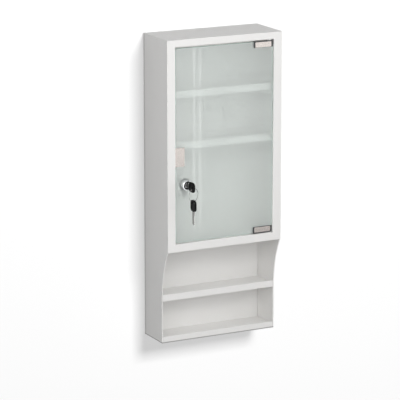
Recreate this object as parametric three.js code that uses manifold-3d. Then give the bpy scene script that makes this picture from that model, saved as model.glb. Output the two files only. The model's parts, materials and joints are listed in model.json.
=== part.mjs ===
// Wall-hung medical cabinet of folded sheet steel: a satin glass door in a pressed frame, with pivot
// clips, a magnetic catch and a cam lock with two keys, over two open trays between swept sides.
// Millimetres, +Z up. The cabinet hangs on the wall plane y = 0 and its front looks along -Y.
// The origin is the middle of the hanging rail's wall face.
import * as THREE from 'three';
import { mergeVertices } from 'three/addons/utils/BufferGeometryUtils.js';
import Module from 'manifold-3d';

// Overall sizes of the steel body, heights from its underside
const cabinetWidth = 280;
const cabinetHeight = 680;
const upperDepth = 118;
const lowerDepth = 88;
const sweepTopHeight = 212;
const sweepFootHeight = 100;

// Sheet thicknesses and folds
const sheet = 1.2;
const frameSheet = 1.5;
const frameEdge = 0.6;
const stileWidth = 20;
const topRailHeight = 16;
const bottomRailHeight = 18;
const returnDepth = 12;
const hemWidth = 8;
const rearFlangeWidth = 14;
const weldFlange = 10;

// Trays and shelves
const openShelfHeight = 102;
const openLipHeight = 8;
const openLipDrop = 6.5;
const lowerShelfAboveCatch = 0.5;
const shelfPitch = 114;
const shelfLipHeight = 16;
const shelfSetback = 20;
const shelfSideGap = 0.6;
const ledgeWidth = 12;
const ledgeSetback = 10;

// Back panel and what hangs on the wall
const backRecess = 14;
const railHeight = 40;
const railBelowTop = 60;
const railEndGap = 16;
const spacerHeight = 20;
const spacerCentreHeight = 60;
const keyholeSpacing = 160;
const keyholeDiameter = 9;
const keyholeSlotWidth = 5;
const keyholeRise = 10;

// Door glass and its gaps in the opening
const glassThickness = 5;
const glassSetback = 4;
const glassArris = 0.5;
const glassCornerRadius = 2;
const hingeSideGap = 1.2;
const lockSideGap = 1.8;
const topGap = 3.5;
const bottomGap = 2.6;

// Pivot hinges
const pivotInset = 8;
const clipLength = 39.5;
const clipReach = 12.5;
const clipSheet = 1.5;
const clipWeb = 1;
const clipBand = 2.4;
const clipBandSheet = 0.7;
const clipEndGap = 4.5;
const linerSheet = 0.8;
const linerEdge = 0.4;
const linerLip = 0.6;
const linerEnd = 2.4;
const pinDiameter = 5;
const pinLength = 8;
const bushWall = 1.25;
const bushFlangeWidth = 1.5;
const bushFloor = 1;
const grubDiameter = 4;
const grubLength = 3;
const grubSocket = 2;
const grubSocketDepth = 1.5;

// Magnetic catch
const strikeAboveLock = 62;
const strikeHeight = 42;
const strikeReach = 21;
const strikeSheet = 1.2;
const catchHeight = 24;
const catchDepth = 18;
const catchReach = 18;
const catchCheek = 6;
const magnetHeight = 18;
const magnetWidth = 11;
const magnetDepth = 7;
const magnetInset = 4;

// Cam lock
const lockFromOpening = 26;
const lockHeight = 360;
const bezelDiameter = 23;
const bezelProud = 10;
const bezelRim = 2.4;
const bezelChamfer = 0.9;
const barrelDiameter = 18;
const barrelLength = 27;
const keywayFloor = 3;
const plugHeadDiameter = 15;
const plugHeadDepth = 2;
const plugDiameter = 12;
const plugTailDiameter = 7.4;
const plugTailEnd = 0.3;
const washerWidth = 4;
const washerThickness = 1;
const nutAcrossCorners = 27;
const nutThickness = 4;
const camSheet = 2;
const camWidth = 9;
const camHubDiameter = 14;
const camCrankRadius = 16;
const camLength = 32;
const camScrewHeadDiameter = 9;
const camScrewHeadHeight = 2;
const camScrewDiameter = 3;
const camScrewLength = 4;

// Keys and ring
const bladeThickness = 2;
const bladeHeight = 8;
const bladeShoulderGap = 7;
const bladeTang = 8;
const tangHeight = 6;
const biteDepth = 1.6;
const biteCount = 4;
const headLength = 25;
const headHeight = 22;
const headThickness = 4.2;
const headCornerRadius = 6;
const headEdge = 0.8;
const headHoleDiameter = 5.5;
const headHoleInset = 5;
const ringDiameter = 31;
const ringTurn = 22;
const ringWire = 1.6;
const ringDrop = 1.2;

// Fits and roundness
const clearance = 0.3;
const roundSides = 24;
const sweepSteps = 20;
const ringSteps = 36;
const wireSides = 8;

// Planes that several pieces share
const halfWidth = cabinetWidth / 2;
const innerHalf = halfWidth - sheet;
const hemHalf = halfWidth - 2 * sheet;
const frontY = -upperDepth;
const frameBackY = frontY + frameSheet;
const returnEndY = frontY + returnDepth;
const lowerFrontY = -lowerDepth;
const backFrontY = -backRecess - sheet;
const openingHalf = halfWidth - stileWidth;
const openingLow = sweepTopHeight + bottomRailHeight;
const openingHigh = cabinetHeight - topRailHeight;
const glassFrontY = frontY + glassSetback;
const glassBackY = glassFrontY + glassThickness;
const glassMidY = (glassFrontY + glassBackY) / 2;
const glassLeft = -openingHalf + lockSideGap;
const glassRight = openingHalf - hingeSideGap;
const glassLow = openingLow + bottomGap;
const glassHigh = openingHigh - topGap;
const pivotX = glassRight - pivotInset;
const lockX = -openingHalf + lockFromOpening;
const bezelFrontY = glassFrontY - bezelProud;
const barrelBackY = bezelFrontY + barrelLength;
const keyShoulderY = bezelFrontY - bladeShoulderGap;
const keyHoleY = keyShoulderY - headLength + headHoleInset;
const ringRadius = (ringDiameter - ringWire) / 2;
const ringTopHeight = lockHeight - ringDrop;
const ringBottomHeight = ringTopHeight - 2 * ringRadius;
const bladeInsert = barrelLength - keywayFloor;
const strikeCentreHeight = lockHeight + strikeAboveLock;
const lowerShelfHeight = strikeCentreHeight + catchHeight / 2 + lowerShelfAboveCatch;
const upperShelfHeight = lowerShelfHeight + shelfPitch;
const railCentreHeight = cabinetHeight - railBelowTop;
const railLength = cabinetWidth - 2 * (rearFlangeWidth + railEndGap);

const wasm = await Module();
wasm.setup();

// A finish for one family of pieces
function finish(color, roughness, metalness) {
  return new THREE.MeshStandardMaterial({ color, roughness, metalness });
}

const finishes = {
  paintedSteel: finish(0xe9e8e6, 0.42, 0.0),
  satinGlass: finish(0xc9d6d2, 0.35, 0.0),
  satinMetal: finish(0xcfcac6, 0.34, 1.0),
  chrome: finish(0xd8d9da, 0.12, 1.0),
  steel: finish(0xa8a9aa, 0.3, 1.0),
  whiteNylon: finish(0xe4e3df, 0.55, 0.0),
  darkLiner: finish(0x34353a, 0.7, 0.0),
  blackPlastic: finish(0x151616, 0.4, 0.0),
  magnet: finish(0x3c3d3f, 0.5, 0.6),
};

// Closed mesh to solid and back, for joins and cuts
function solidOf(geometry) {
  const bare = geometry.clone();
  bare.deleteAttribute('normal');
  bare.deleteAttribute('uv');
  const merged = mergeVertices(bare);
  return new wasm.Manifold(new wasm.Mesh({
    numProp: 3,
    vertProperties: Float32Array.from(merged.attributes.position.array),
    triVerts: Uint32Array.from(merged.index.array),
  }));
}

function geometryOf(solid) {
  const mesh = solid.getMesh();
  const geometry = new THREE.BufferGeometry();
  geometry.setAttribute('position', new THREE.BufferAttribute(mesh.vertProperties, 3));
  geometry.setIndex(new THREE.BufferAttribute(mesh.triVerts, 1));
  geometry.computeVertexNormals();
  return geometry;
}

function join(...geometries) {
  return geometryOf(geometries.map(solidOf).reduce((whole, piece) => whole.add(piece)));
}

function cut(body, ...tools) {
  return geometryOf(tools.map(solidOf).reduce((whole, tool) => whole.subtract(tool), solidOf(body)));
}

// Box between two values along each axis, given in either order
function block(xSpan, ySpan, zSpan) {
  const sizes = [xSpan, ySpan, zSpan].map(([from, to]) => Math.abs(to - from));
  const middles = [xSpan, ySpan, zSpan].map(([from, to]) => (from + to) / 2);
  return new THREE.BoxGeometry(...sizes).translate(...middles);
}

// Round bar along Y or Z, between two values on that axis
function barAlongY(x, z, radius, [from, to], sides = roundSides) {
  const bar = new THREE.CylinderGeometry(radius, radius, Math.abs(to - from), sides);
  return bar.translate(x, (from + to) / 2, z);
}

function barAlongZ(x, y, radius, [from, to]) {
  const bar = new THREE.CylinderGeometry(radius, radius, Math.abs(to - from), roundSides);
  return bar.rotateX(Math.PI / 2).translate(x, y, (from + to) / 2);
}

// Outline drawn in Y and Z, extruded along X; outline drawn in X and Z, extruded along Y
const axisX = new THREE.Vector3(1, 0, 0);
const axisY = new THREE.Vector3(0, 1, 0);
const axisZ = new THREE.Vector3(0, 0, 1);

function extrudeAlongX(shape, [from, to], edge = 0, curveSegments = sweepSteps) {
  return extruded(shape, Math.abs(to - from), edge, curveSegments)
    .applyMatrix4(new THREE.Matrix4().makeBasis(axisY, axisZ, axisX))
    .translate(Math.min(from, to), 0, 0);
}

function extrudeAlongY(shape, [from, to], edge = 0, curveSegments = sweepSteps) {
  return extruded(shape, Math.abs(to - from), edge, curveSegments)
    .applyMatrix4(new THREE.Matrix4().makeBasis(axisX, axisZ, axisY.clone().negate()))
    .translate(0, Math.max(from, to), 0);
}

// Extrusion whose edges are rounded inside the outline and the thickness
function extruded(shape, thickness, edge, curveSegments) {
  return new THREE.ExtrudeGeometry(shape, {
    depth: thickness - 2 * edge,
    bevelEnabled: edge > 0,
    bevelSize: edge,
    bevelThickness: edge,
    bevelOffset: -edge,
    bevelSegments: 1,
    curveSegments,
  }).translate(0, 0, edge);
}

function rectangle(Type, [left, right], [low, high]) {
  const outline = new Type();
  outline.moveTo(left, low);
  outline.lineTo(right, low);
  outline.lineTo(right, high);
  outline.lineTo(left, high);
  outline.closePath();
  return outline;
}

function roundedRectangle([left, right], [low, high], radius) {
  const outline = new THREE.Shape();
  outline.moveTo(left + radius, low);
  outline.absarc(right - radius, low + radius, radius, -Math.PI / 2, 0);
  outline.absarc(right - radius, high - radius, radius, 0, Math.PI / 2);
  outline.absarc(left + radius, high - radius, radius, Math.PI / 2, Math.PI);
  outline.absarc(left + radius, low + radius, radius, Math.PI, 1.5 * Math.PI);
  return outline;
}

// Hole of four quarter arcs, so that its roundness follows the corners' number of steps
function roundHole(u, v, radius) {
  const quarter = Math.PI / 2;
  const hole = new THREE.Path();
  for (let turn = 0; turn < 4; turn += 1) {
    hole.absarc(u, v, radius, -turn * quarter, -(turn + 1) * quarter, true);
  }
  return hole;
}

const cabinet = new THREE.Group();

function add(name, geometry, material, parent = cabinet) {
  const mesh = new THREE.Mesh(geometry, material);
  mesh.name = name;
  parent.add(mesh);
  return mesh;
}

// Steel body

// The sweep is an arc that leaves the lower front edge straight up and ends under the door frame
const sweepOut = lowerFrontY - frameBackY;
const sweepRise = sweepTopHeight - sweepFootHeight;
const sweepRadius = (sweepRise ** 2 + sweepOut ** 2) / (2 * sweepOut);
const sweepAngle = Math.asin(sweepRise / sweepRadius);

function sideOutline() {
  const outline = new THREE.Shape();
  outline.moveTo(0, 0);
  outline.lineTo(lowerFrontY, 0);
  outline.absarc(lowerFrontY - sweepRadius, sweepFootHeight, sweepRadius, 0, sweepAngle);
  outline.lineTo(frameBackY, cabinetHeight - sheet);
  outline.lineTo(0, cabinetHeight - sheet);
  outline.closePath();
  return outline;
}

function hemOutline() {
  const outline = new THREE.Shape();
  outline.moveTo(lowerFrontY + hemWidth, 0);
  outline.lineTo(lowerFrontY, 0);
  outline.absarc(lowerFrontY - sweepRadius, sweepFootHeight, sweepRadius, 0, sweepAngle);
  outline.lineTo(frameBackY + hemWidth, sweepTopHeight);
  outline.absarc(lowerFrontY - sweepRadius + hemWidth, sweepFootHeight, sweepRadius, sweepAngle, 0, true);
  outline.closePath();
  return outline;
}

function sidePanel(hand) {
  const web = extrudeAlongX(sideOutline(), [hand * innerHalf, hand * halfWidth]);
  const hem = extrudeAlongX(hemOutline(), [hand * hemHalf, hand * halfWidth]);
  const flangeSpan = [hand * (halfWidth - rearFlangeWidth), hand * halfWidth];
  const flange = block(flangeSpan, [-sheet, 0], [0, cabinetHeight - sheet]);
  return join(web, hem, flange);
}

function frontFrame() {
  const outline = rectangle(THREE.Shape, [-halfWidth, halfWidth], [sweepTopHeight, cabinetHeight]);
  const opening = rectangle(THREE.Path, [-openingHalf, openingHalf], [openingLow, openingHigh]);
  outline.holes.push(opening);
  const plate = extrudeAlongY(outline, [frontY, frameBackY], frameEdge);
  const outer = openingHalf + frameSheet;
  const rim = rectangle(THREE.Shape, [-outer, outer], [openingLow - frameSheet, openingHigh + frameSheet]);
  rim.holes.push(opening);
  const returns = extrudeAlongY(rim, [frontY + frameEdge, returnEndY]);
  const bushRadius = pinDiameter / 2 + clearance + bushWall + clearance;
  const bushHoles = barAlongZ(pivotX, glassMidY, bushRadius, [openingLow - bottomRailHeight / 2,
    openingHigh + topRailHeight / 2]);
  return cut(join(plate, returns), bushHoles);
}

function topPanel() {
  const lid = block([-halfWidth, halfWidth], [frameBackY, 0], [cabinetHeight - sheet, cabinetHeight]);
  const flangeHalf = halfWidth - rearFlangeWidth - clearance;
  const flange = block([-flangeHalf, flangeHalf], [-sheet, 0],
    [cabinetHeight - rearFlangeWidth, cabinetHeight]);
  return join(lid, flange);
}

function dividerPanel() {
  const floor = block([-innerHalf, innerHalf], [returnEndY, backFrontY], [openingLow - sheet, openingLow]);
  const flanges = [-1, 1].map((hand) => block([hand * hemHalf, hand * innerHalf], [returnEndY, backFrontY],
    [openingLow - weldFlange, openingLow]));
  return join(floor, ...flanges);
}

// Open tray between the sides: its front corners and lip clear the hemmed edges
function openTray(floorHeight, flangeSpan) {
  const behindHemY = lowerFrontY + hemWidth + clearance;
  const lipHalf = hemHalf - clearance;
  const floorSpan = [floorHeight, floorHeight + sheet];
  const floor = block([-innerHalf, innerHalf], [behindHemY, backFrontY], floorSpan);
  const nose = block([-lipHalf, lipHalf], [lowerFrontY, behindHemY], floorSpan);
  const lip = block([-lipHalf, lipHalf], [lowerFrontY, lowerFrontY + sheet],
    [floorHeight - openLipDrop, floorHeight + openLipHeight]);
  const flanges = [-1, 1].map((hand) => block([hand * hemHalf, hand * innerHalf], [behindHemY, backFrontY],
    flangeSpan));
  return join(floor, nose, lip, ...flanges);
}

function openShelf() {
  const flangeSpan = [openShelfHeight + sheet - weldFlange, openShelfHeight + sheet];
  return openTray(openShelfHeight, flangeSpan);
}

function bottomPanel() {
  return openTray(openLipDrop, [0, openLipDrop + sheet]);
}

function backPanel() {
  const heights = [0, cabinetHeight - sheet];
  const panel = block([-innerHalf, innerHalf], [backFrontY, -backRecess], heights);
  const flanges = [-1, 1].map((hand) => block([hand * hemHalf, hand * innerHalf],
    [backFrontY, backFrontY + weldFlange], heights));
  return join(panel, ...flanges);
}

// Channel that stands off the back panel and lies on the wall
function wallChannel(centreHeight, height) {
  const span = [-railLength / 2, railLength / 2];
  const low = centreHeight - height / 2;
  const high = centreHeight + height / 2;
  const web = block(span, [-frameSheet, 0], [low, high]);
  const lowerFlange = block(span, [-backRecess, 0], [low, low + frameSheet]);
  const upperFlange = block(span, [-backRecess, 0], [high - frameSheet, high]);
  return join(web, lowerFlange, upperFlange);
}

function hangingRail() {
  const through = [-2 * frameSheet, frameSheet];
  const entryHeight = railCentreHeight - keyholeRise / 2;
  const seatHeight = railCentreHeight + keyholeRise / 2;
  const keyholes = [-1, 1].flatMap((hand) => {
    const x = hand * keyholeSpacing / 2;
    const slot = [x - keyholeSlotWidth / 2, x + keyholeSlotWidth / 2];
    return [
      barAlongY(x, entryHeight, keyholeDiameter / 2, through),
      barAlongY(x, seatHeight, keyholeSlotWidth / 2, through),
      block(slot, through, [entryHeight, seatHeight]),
    ];
  });
  return cut(wallChannel(railCentreHeight, railHeight), ...keyholes);
}

const shelfFrontY = frontY + shelfSetback;
const shelfRearY = backFrontY - clearance;

function looseShelf(floorHeight) {
  const half = innerHalf - shelfSideGap;
  const floor = block([-half, half], [shelfFrontY, shelfRearY], [floorHeight, floorHeight + sheet]);
  const lip = block([-half, half], [shelfFrontY, shelfFrontY + sheet],
    [floorHeight, floorHeight + shelfLipHeight]);
  return join(floor, lip);
}

function shelfLedge(hand, shelfHeight) {
  const along = [shelfFrontY + ledgeSetback, shelfRearY - ledgeSetback];
  const seat = block([hand * (innerHalf - ledgeWidth), hand * innerHalf], along,
    [shelfHeight - sheet, shelfHeight]);
  const leg = block([hand * hemHalf, hand * innerHalf], along, [shelfHeight - ledgeWidth, shelfHeight]);
  return join(seat, leg);
}

function buildBody() {
  add('front_frame', frontFrame(), finishes.paintedSteel);
  add('left_side', sidePanel(-1), finishes.paintedSteel);
  add('right_side', sidePanel(1), finishes.paintedSteel);
  add('top_panel', topPanel(), finishes.paintedSteel);
  add('divider_panel', dividerPanel(), finishes.paintedSteel);
  add('open_shelf', openShelf(), finishes.paintedSteel);
  add('bottom_panel', bottomPanel(), finishes.paintedSteel);
  add('back_panel', backPanel(), finishes.paintedSteel);
  add('hanging_rail', hangingRail(), finishes.paintedSteel);
  add('wall_spacer', wallChannel(spacerCentreHeight, spacerHeight), finishes.paintedSteel);
  for (const [level, height] of [['upper', upperShelfHeight], ['lower', lowerShelfHeight]]) {
    add(`${level}_shelf`, looseShelf(height), finishes.paintedSteel);
    add(`${level}_left_ledge`, shelfLedge(-1, height), finishes.paintedSteel);
    add(`${level}_right_ledge`, shelfLedge(1, height), finishes.paintedSteel);
  }
}

// Pivot hinges

// Heights of one hinge, counted from the frame's return into the opening: up for the lower hinge
function hingeLevels(up) {
  const returnHeight = up > 0 ? openingLow : openingHigh;
  const glassEnd = up > 0 ? glassLow : glassHigh;
  const clipOuter = glassEnd - up * (linerEdge + clipWeb);
  const clipInner = glassEnd + up * clipReach;
  return { returnHeight, glassEnd, clipOuter, clipInner, bandInner: clipOuter + up * clipBand };
}

function hingeBush(up) {
  const { returnHeight, clipOuter } = hingeLevels(up);
  const boreRadius = pinDiameter / 2 + clearance;
  const barrelRadius = boreRadius + bushWall;
  const boreEnd = clipOuter - up * (pinLength + clearance);
  const barrel = barAlongZ(pivotX, glassMidY, barrelRadius, [returnHeight, boreEnd - up * bushFloor]);
  const flangeFace = clipOuter - up * clearance;
  const flange = barAlongZ(pivotX, glassMidY, barrelRadius + bushFlangeWidth, [returnHeight, flangeFace]);
  const bore = barAlongZ(pivotX, glassMidY, boreRadius, [clipOuter, boreEnd]);
  return cut(join(barrel, flange), bore);
}

const clipRight = glassRight - clipEndGap;
const clipLeft = clipRight - clipLength;
const grubX = (clipLeft + pivotX) / 2;
const linerFrontY = glassFrontY - linerSheet;
const linerBackY = glassBackY + linerSheet;
const clipFrontY = linerFrontY - clipSheet;
const bandBackY = linerFrontY - clipBandSheet;

function grubHeight(up) {
  const { glassEnd, clipInner } = hingeLevels(up);
  return (glassEnd + clipInner) / 2;
}

// Channel over the end of the glass, with the pivot pin standing on its web and a step for the liner's band
function hingeClip(up) {
  const { glassEnd, clipOuter, clipInner, bandInner } = hingeLevels(up);
  const along = [clipLeft, clipRight];
  const front = block(along, [clipFrontY, linerFrontY], [bandInner, clipInner]);
  const step = block(along, [bandBackY, linerFrontY], [clipOuter, clipInner]);
  const back = block(along, [linerBackY, linerBackY + clipSheet], [clipOuter, clipInner]);
  const web = block(along, [bandBackY, linerBackY + clipSheet], [clipOuter, glassEnd - up * linerEdge]);
  const pin = barAlongZ(pivotX, glassMidY, pinDiameter / 2,
    [glassEnd - up * linerEdge, clipOuter - up * pinLength]);
  const grubHole = barAlongY(grubX, grubHeight(up), grubDiameter / 2 + clearance,
    [linerBackY - clearance, linerBackY + 2 * clipSheet]);
  return cut(join(front, step, back, web, pin), grubHole);
}

// Soft lining between clip and glass, showing as a dark band and end round the clip's front
function clipLiner(up) {
  const { glassEnd, clipOuter, clipInner, bandInner } = hingeLevels(up);
  const along = [clipLeft - linerEnd, glassRight];
  const edge = glassEnd - up * linerEdge;
  const lip = clipInner + up * linerLip;
  const front = block(along, [linerFrontY, glassFrontY], [edge, lip]);
  const back = block(along, [glassBackY, linerBackY], [edge, lip]);
  const bridge = block(along, [linerFrontY, linerBackY], [edge, glassEnd]);
  const band = block([clipLeft - linerEnd, clipRight], [clipFrontY, bandBackY], [clipOuter, bandInner]);
  const end = block([clipLeft - linerEnd, clipLeft], [clipFrontY, glassFrontY], [clipOuter, lip]);
  return join(front, back, bridge, band, end);
}

function clipScrew(up) {
  const end = linerBackY + grubLength;
  const screw = barAlongY(grubX, grubHeight(up), grubDiameter / 2, [linerBackY, end]);
  const socket = barAlongY(grubX, grubHeight(up), grubSocket / 2,
    [end - grubSocketDepth, end + clearance], 6);
  return cut(screw, socket);
}

// Door, catch and lock

function doorGlass() {
  const outline = roundedRectangle([glassLeft, glassRight], [glassLow, glassHigh], glassCornerRadius);
  outline.holes.push(roundHole(lockX, lockHeight, barrelDiameter / 2 + clearance));
  return extrudeAlongY(outline, [glassFrontY, glassBackY], glassArris, roundSides / 4);
}

// Steel clip over the glass edge for the magnet to pull on
function strikePlate() {
  const heights = [strikeCentreHeight - strikeHeight / 2, strikeCentreHeight + strikeHeight / 2];
  const along = [glassLeft - strikeSheet, glassLeft + strikeReach];
  const front = block(along, [glassFrontY - strikeSheet, glassFrontY], heights);
  const back = block(along, [glassBackY, glassBackY + strikeSheet], heights);
  const web = block([glassLeft - strikeSheet, glassLeft],
    [glassFrontY - strikeSheet, glassBackY + strikeSheet], heights);
  return join(front, back, web);
}

const catchFrontY = glassBackY + strikeSheet + clearance;
const catchHeights = [strikeCentreHeight - catchHeight / 2, strikeCentreHeight + catchHeight / 2];
const magnetLeft = -openingHalf + magnetInset;
const magnetSpan = [magnetLeft, magnetLeft + magnetWidth];
const magnetHeights = [strikeCentreHeight - magnetHeight / 2, strikeCentreHeight + magnetHeight / 2];

// Housing that straddles the rear edge of the frame's left return
function catchHousing() {
  const outside = -openingHalf - frameSheet - clearance;
  const body = block([outside - catchCheek, -openingHalf + catchReach],
    [catchFrontY, catchFrontY + catchDepth], catchHeights);
  const slot = block([outside, -openingHalf + clearance], [catchFrontY - clearance, returnEndY + clearance],
    [catchHeights[0] - clearance, catchHeights[1] + clearance]);
  const pocket = block([magnetSpan[0] - clearance, magnetSpan[1] + clearance],
    [catchFrontY - clearance, catchFrontY + magnetDepth + clearance],
    [magnetHeights[0] - clearance, magnetHeights[1] + clearance]);
  return cut(body, slot, pocket);
}

function catchMagnet() {
  return block(magnetSpan, [catchFrontY, catchFrontY + magnetDepth], magnetHeights);
}

// Piece turned about the lock's axis, its profile in radius and depth behind the bezel's face
function turned(profile) {
  const points = profile.map(([radius, depth]) => new THREE.Vector2(radius, depth));
  return new THREE.LatheGeometry(points, roundSides).translate(lockX, bezelFrontY, lockHeight);
}

function lockBarrel() {
  const bore = plugDiameter / 2 + clearance;
  const seat = plugHeadDiameter / 2 + clearance;
  const seatDepth = plugHeadDepth + clearance;
  const bezel = bezelDiameter / 2;
  return turned([
    [bore, seatDepth],
    [bore, barrelLength],
    [barrelDiameter / 2, barrelLength],
    [barrelDiameter / 2, bezelProud],
    [bezel, bezelProud],
    [bezel, bezelChamfer],
    [bezel - bezelChamfer, 0],
    [bezel - bezelRim, 0],
    [seat, bezelChamfer],
    [seat, seatDepth],
    [bore, seatDepth],
  ].reverse());
}

const camFrontY = barrelBackY + clearance;
const camRearY = camFrontY + camSheet;
const plugEndY = camRearY + plugTailEnd;
const keywayEndY = bezelFrontY + bladeInsert + 2 * clearance;

function lockPlug() {
  const face = bezelChamfer;
  const body = barrelLength - clearance;
  const end = plugEndY - bezelFrontY;
  const blank = turned([
    [0, face],
    [plugHeadDiameter / 2, face],
    [plugHeadDiameter / 2, plugHeadDepth],
    [plugDiameter / 2, plugHeadDepth],
    [plugDiameter / 2, body],
    [plugTailDiameter / 2, body],
    [plugTailDiameter / 2, end],
    [0, end],
  ]);
  const halfSlot = bladeThickness / 2 + clearance;
  const halfHeight = bladeHeight / 2 + clearance;
  const keyway = block([lockX - halfSlot, lockX + halfSlot], [bezelFrontY, keywayEndY],
    [lockHeight - halfHeight, lockHeight + halfHeight]);
  const screwHole = barAlongY(lockX, lockHeight, camScrewDiameter / 2 + clearance,
    [plugEndY - camScrewLength - clearance, plugEndY + clearance]);
  return cut(blank, keyway, screwHole);
}

function lockWasher() {
  const span = [glassBackY, glassBackY + washerThickness];
  const inner = barrelDiameter / 2 + clearance;
  return cut(barAlongY(lockX, lockHeight, inner + washerWidth, span),
    barAlongY(lockX, lockHeight, inner, [span[0] - clearance, span[1] + clearance]));
}

function lockNut() {
  const front = glassBackY + washerThickness;
  const span = [front, front + nutThickness];
  const inner = barrelDiameter / 2 + clearance;
  return cut(barAlongY(lockX, lockHeight, nutAcrossCorners / 2, span, 6),
    barAlongY(lockX, lockHeight, inner, [span[0] - clearance, span[1] + clearance]));
}

// Cranked cam that hangs down at rest; its arm lies just behind the frame's return when turned
function lockCam() {
  const armFrontY = returnEndY + clearance;
  const across = [lockX - camWidth / 2, lockX + camWidth / 2];
  const crankHeight = lockHeight - camCrankRadius;
  const hub = barAlongY(lockX, lockHeight, camHubDiameter / 2, [camFrontY, camRearY]);
  const shank = block(across, [camFrontY, camRearY], [crankHeight - camSheet, lockHeight]);
  const crank = block(across, [armFrontY, camRearY], [crankHeight - camSheet, crankHeight]);
  const arm = block(across, [armFrontY, armFrontY + camSheet], [lockHeight - camLength, crankHeight]);
  const hole = barAlongY(lockX, lockHeight, plugTailDiameter / 2 + clearance,
    [camFrontY - clearance, camRearY + clearance]);
  return cut(join(hub, shank, crank, arm), hole);
}

function camScrew() {
  const head = barAlongY(lockX, lockHeight, camScrewHeadDiameter / 2,
    [plugEndY, plugEndY + camScrewHeadHeight]);
  const shank = barAlongY(lockX, lockHeight, camScrewDiameter / 2,
    [plugEndY - camScrewLength, plugEndY]);
  return join(head, shank);
}

function buildDoor() {
  add('door_glass', doorGlass(), finishes.satinGlass);
  for (const [level, up] of [['upper', -1], ['lower', 1]]) {
    add(`${level}_hinge_bush`, hingeBush(up), finishes.whiteNylon);
    add(`${level}_hinge_clip`, hingeClip(up), finishes.satinMetal);
    add(`${level}_clip_liner`, clipLiner(up), finishes.darkLiner);
    add(`${level}_clip_screw`, clipScrew(up), finishes.steel);
  }
  add('strike_plate', strikePlate(), finishes.satinMetal);
  add('catch_housing', catchHousing(), finishes.whiteNylon);
  add('catch_magnet', catchMagnet(), finishes.magnet);
  add('lock_barrel', lockBarrel(), finishes.chrome);
  add('lock_washer', lockWasher(), finishes.darkLiner);
  add('lock_nut', lockNut(), finishes.steel);
  add('lock_plug', lockPlug(), finishes.chrome);
  add('lock_cam', lockCam(), finishes.steel);
  add('cam_screw', camScrew(), finishes.steel);
}

// Keys: drawn about the key's own axis, the shoulder at y = 0, the blade along +Y, the head along -Y

function keyBlade() {
  const half = bladeHeight / 2;
  const tip = bladeShoulderGap + bladeInsert;
  const biteSpan = bladeInsert / (biteCount + 1);
  const outline = new THREE.Shape();
  outline.moveTo(-bladeTang, -tangHeight / 2);
  outline.lineTo(clearance, -tangHeight / 2);
  outline.lineTo(clearance, -half);
  for (let bite = 0; bite < biteCount; bite += 1) {
    const start = bladeShoulderGap + (bite + 0.5) * biteSpan;
    outline.lineTo(start, -half);
    outline.lineTo(start + biteSpan / 2, -half + biteDepth);
    outline.lineTo(start + biteSpan, -half);
  }
  outline.lineTo(tip - half / 2, -half);
  outline.lineTo(tip, 0);
  outline.lineTo(tip - half, half);
  outline.lineTo(clearance, half);
  outline.lineTo(clearance, tangHeight / 2);
  outline.lineTo(-bladeTang, tangHeight / 2);
  outline.closePath();
  return extrudeAlongX(outline, [-bladeThickness / 2, bladeThickness / 2]);
}

function keyHead() {
  const outline = roundedRectangle([-headLength, 0], [-headHeight / 2, headHeight / 2], headCornerRadius);
  outline.holes.push(roundHole(headHoleInset - headLength, 0, headHoleDiameter / 2));
  const plate = extrudeAlongX(outline, [-headThickness / 2, headThickness / 2], headEdge, roundSides / 4);
  const halfSlot = bladeThickness / 2 + clearance;
  const slotHeight = tangHeight / 2 + clearance;
  const slot = block([-halfSlot, halfSlot], [-bladeTang - clearance, clearance], [-slotHeight, slotHeight]);
  return cut(plate, slot);
}

function buildKey(prefix) {
  const key = new THREE.Group();
  add(`${prefix}_blade`, keyBlade(), finishes.steel, key);
  add(`${prefix}_head`, keyHead(), finishes.blackPlastic, key);
  cabinet.add(key);
  return key;
}

function buildKeys() {
  buildKey('key').position.set(lockX, keyShoulderY, lockHeight);

  const ringWireShape = new THREE.TorusGeometry(ringRadius, ringWire / 2, wireSides, ringSteps);
  const ring = add('key_ring', ringWireShape, finishes.steel);
  ring.rotation.set(Math.PI / 2, THREE.MathUtils.degToRad(ringTurn), 0);
  ring.position.set(lockX, keyHoleY, ringTopHeight - ringRadius);

  // The spare key hangs by its head's hole on the bottom of the ring, blade down
  const spare = buildKey('spare_key');
  const holeToShoulder = headLength - headHoleInset;
  spare.rotation.x = -Math.PI / 2;
  spare.position.set(lockX, keyHoleY, ringBottomHeight - ringDrop - holeToShoulder);
}

buildBody();
buildDoor();
buildKeys();
cabinet.position.z = -railCentreHeight;

const part = new THREE.Group();
part.add(cabinet);

export default part;
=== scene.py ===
"""Looks of a wall-hung medical cabinet: white painted steel, a satin glass door, a cam lock and its keys.

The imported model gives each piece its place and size, in metres, with +Z up and the front towards -Y.
Heights here are row heights: zero is the middle of the hanging rail on the wall.
"""

from __future__ import annotations

import json
import logging
import math
from collections.abc import Callable, Iterable, Mapping, Sequence
from dataclasses import dataclass
from enum import Enum
from functools import cached_property
from typing import Union

import bmesh
import bpy
from mathutils import Matrix, Vector

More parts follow.
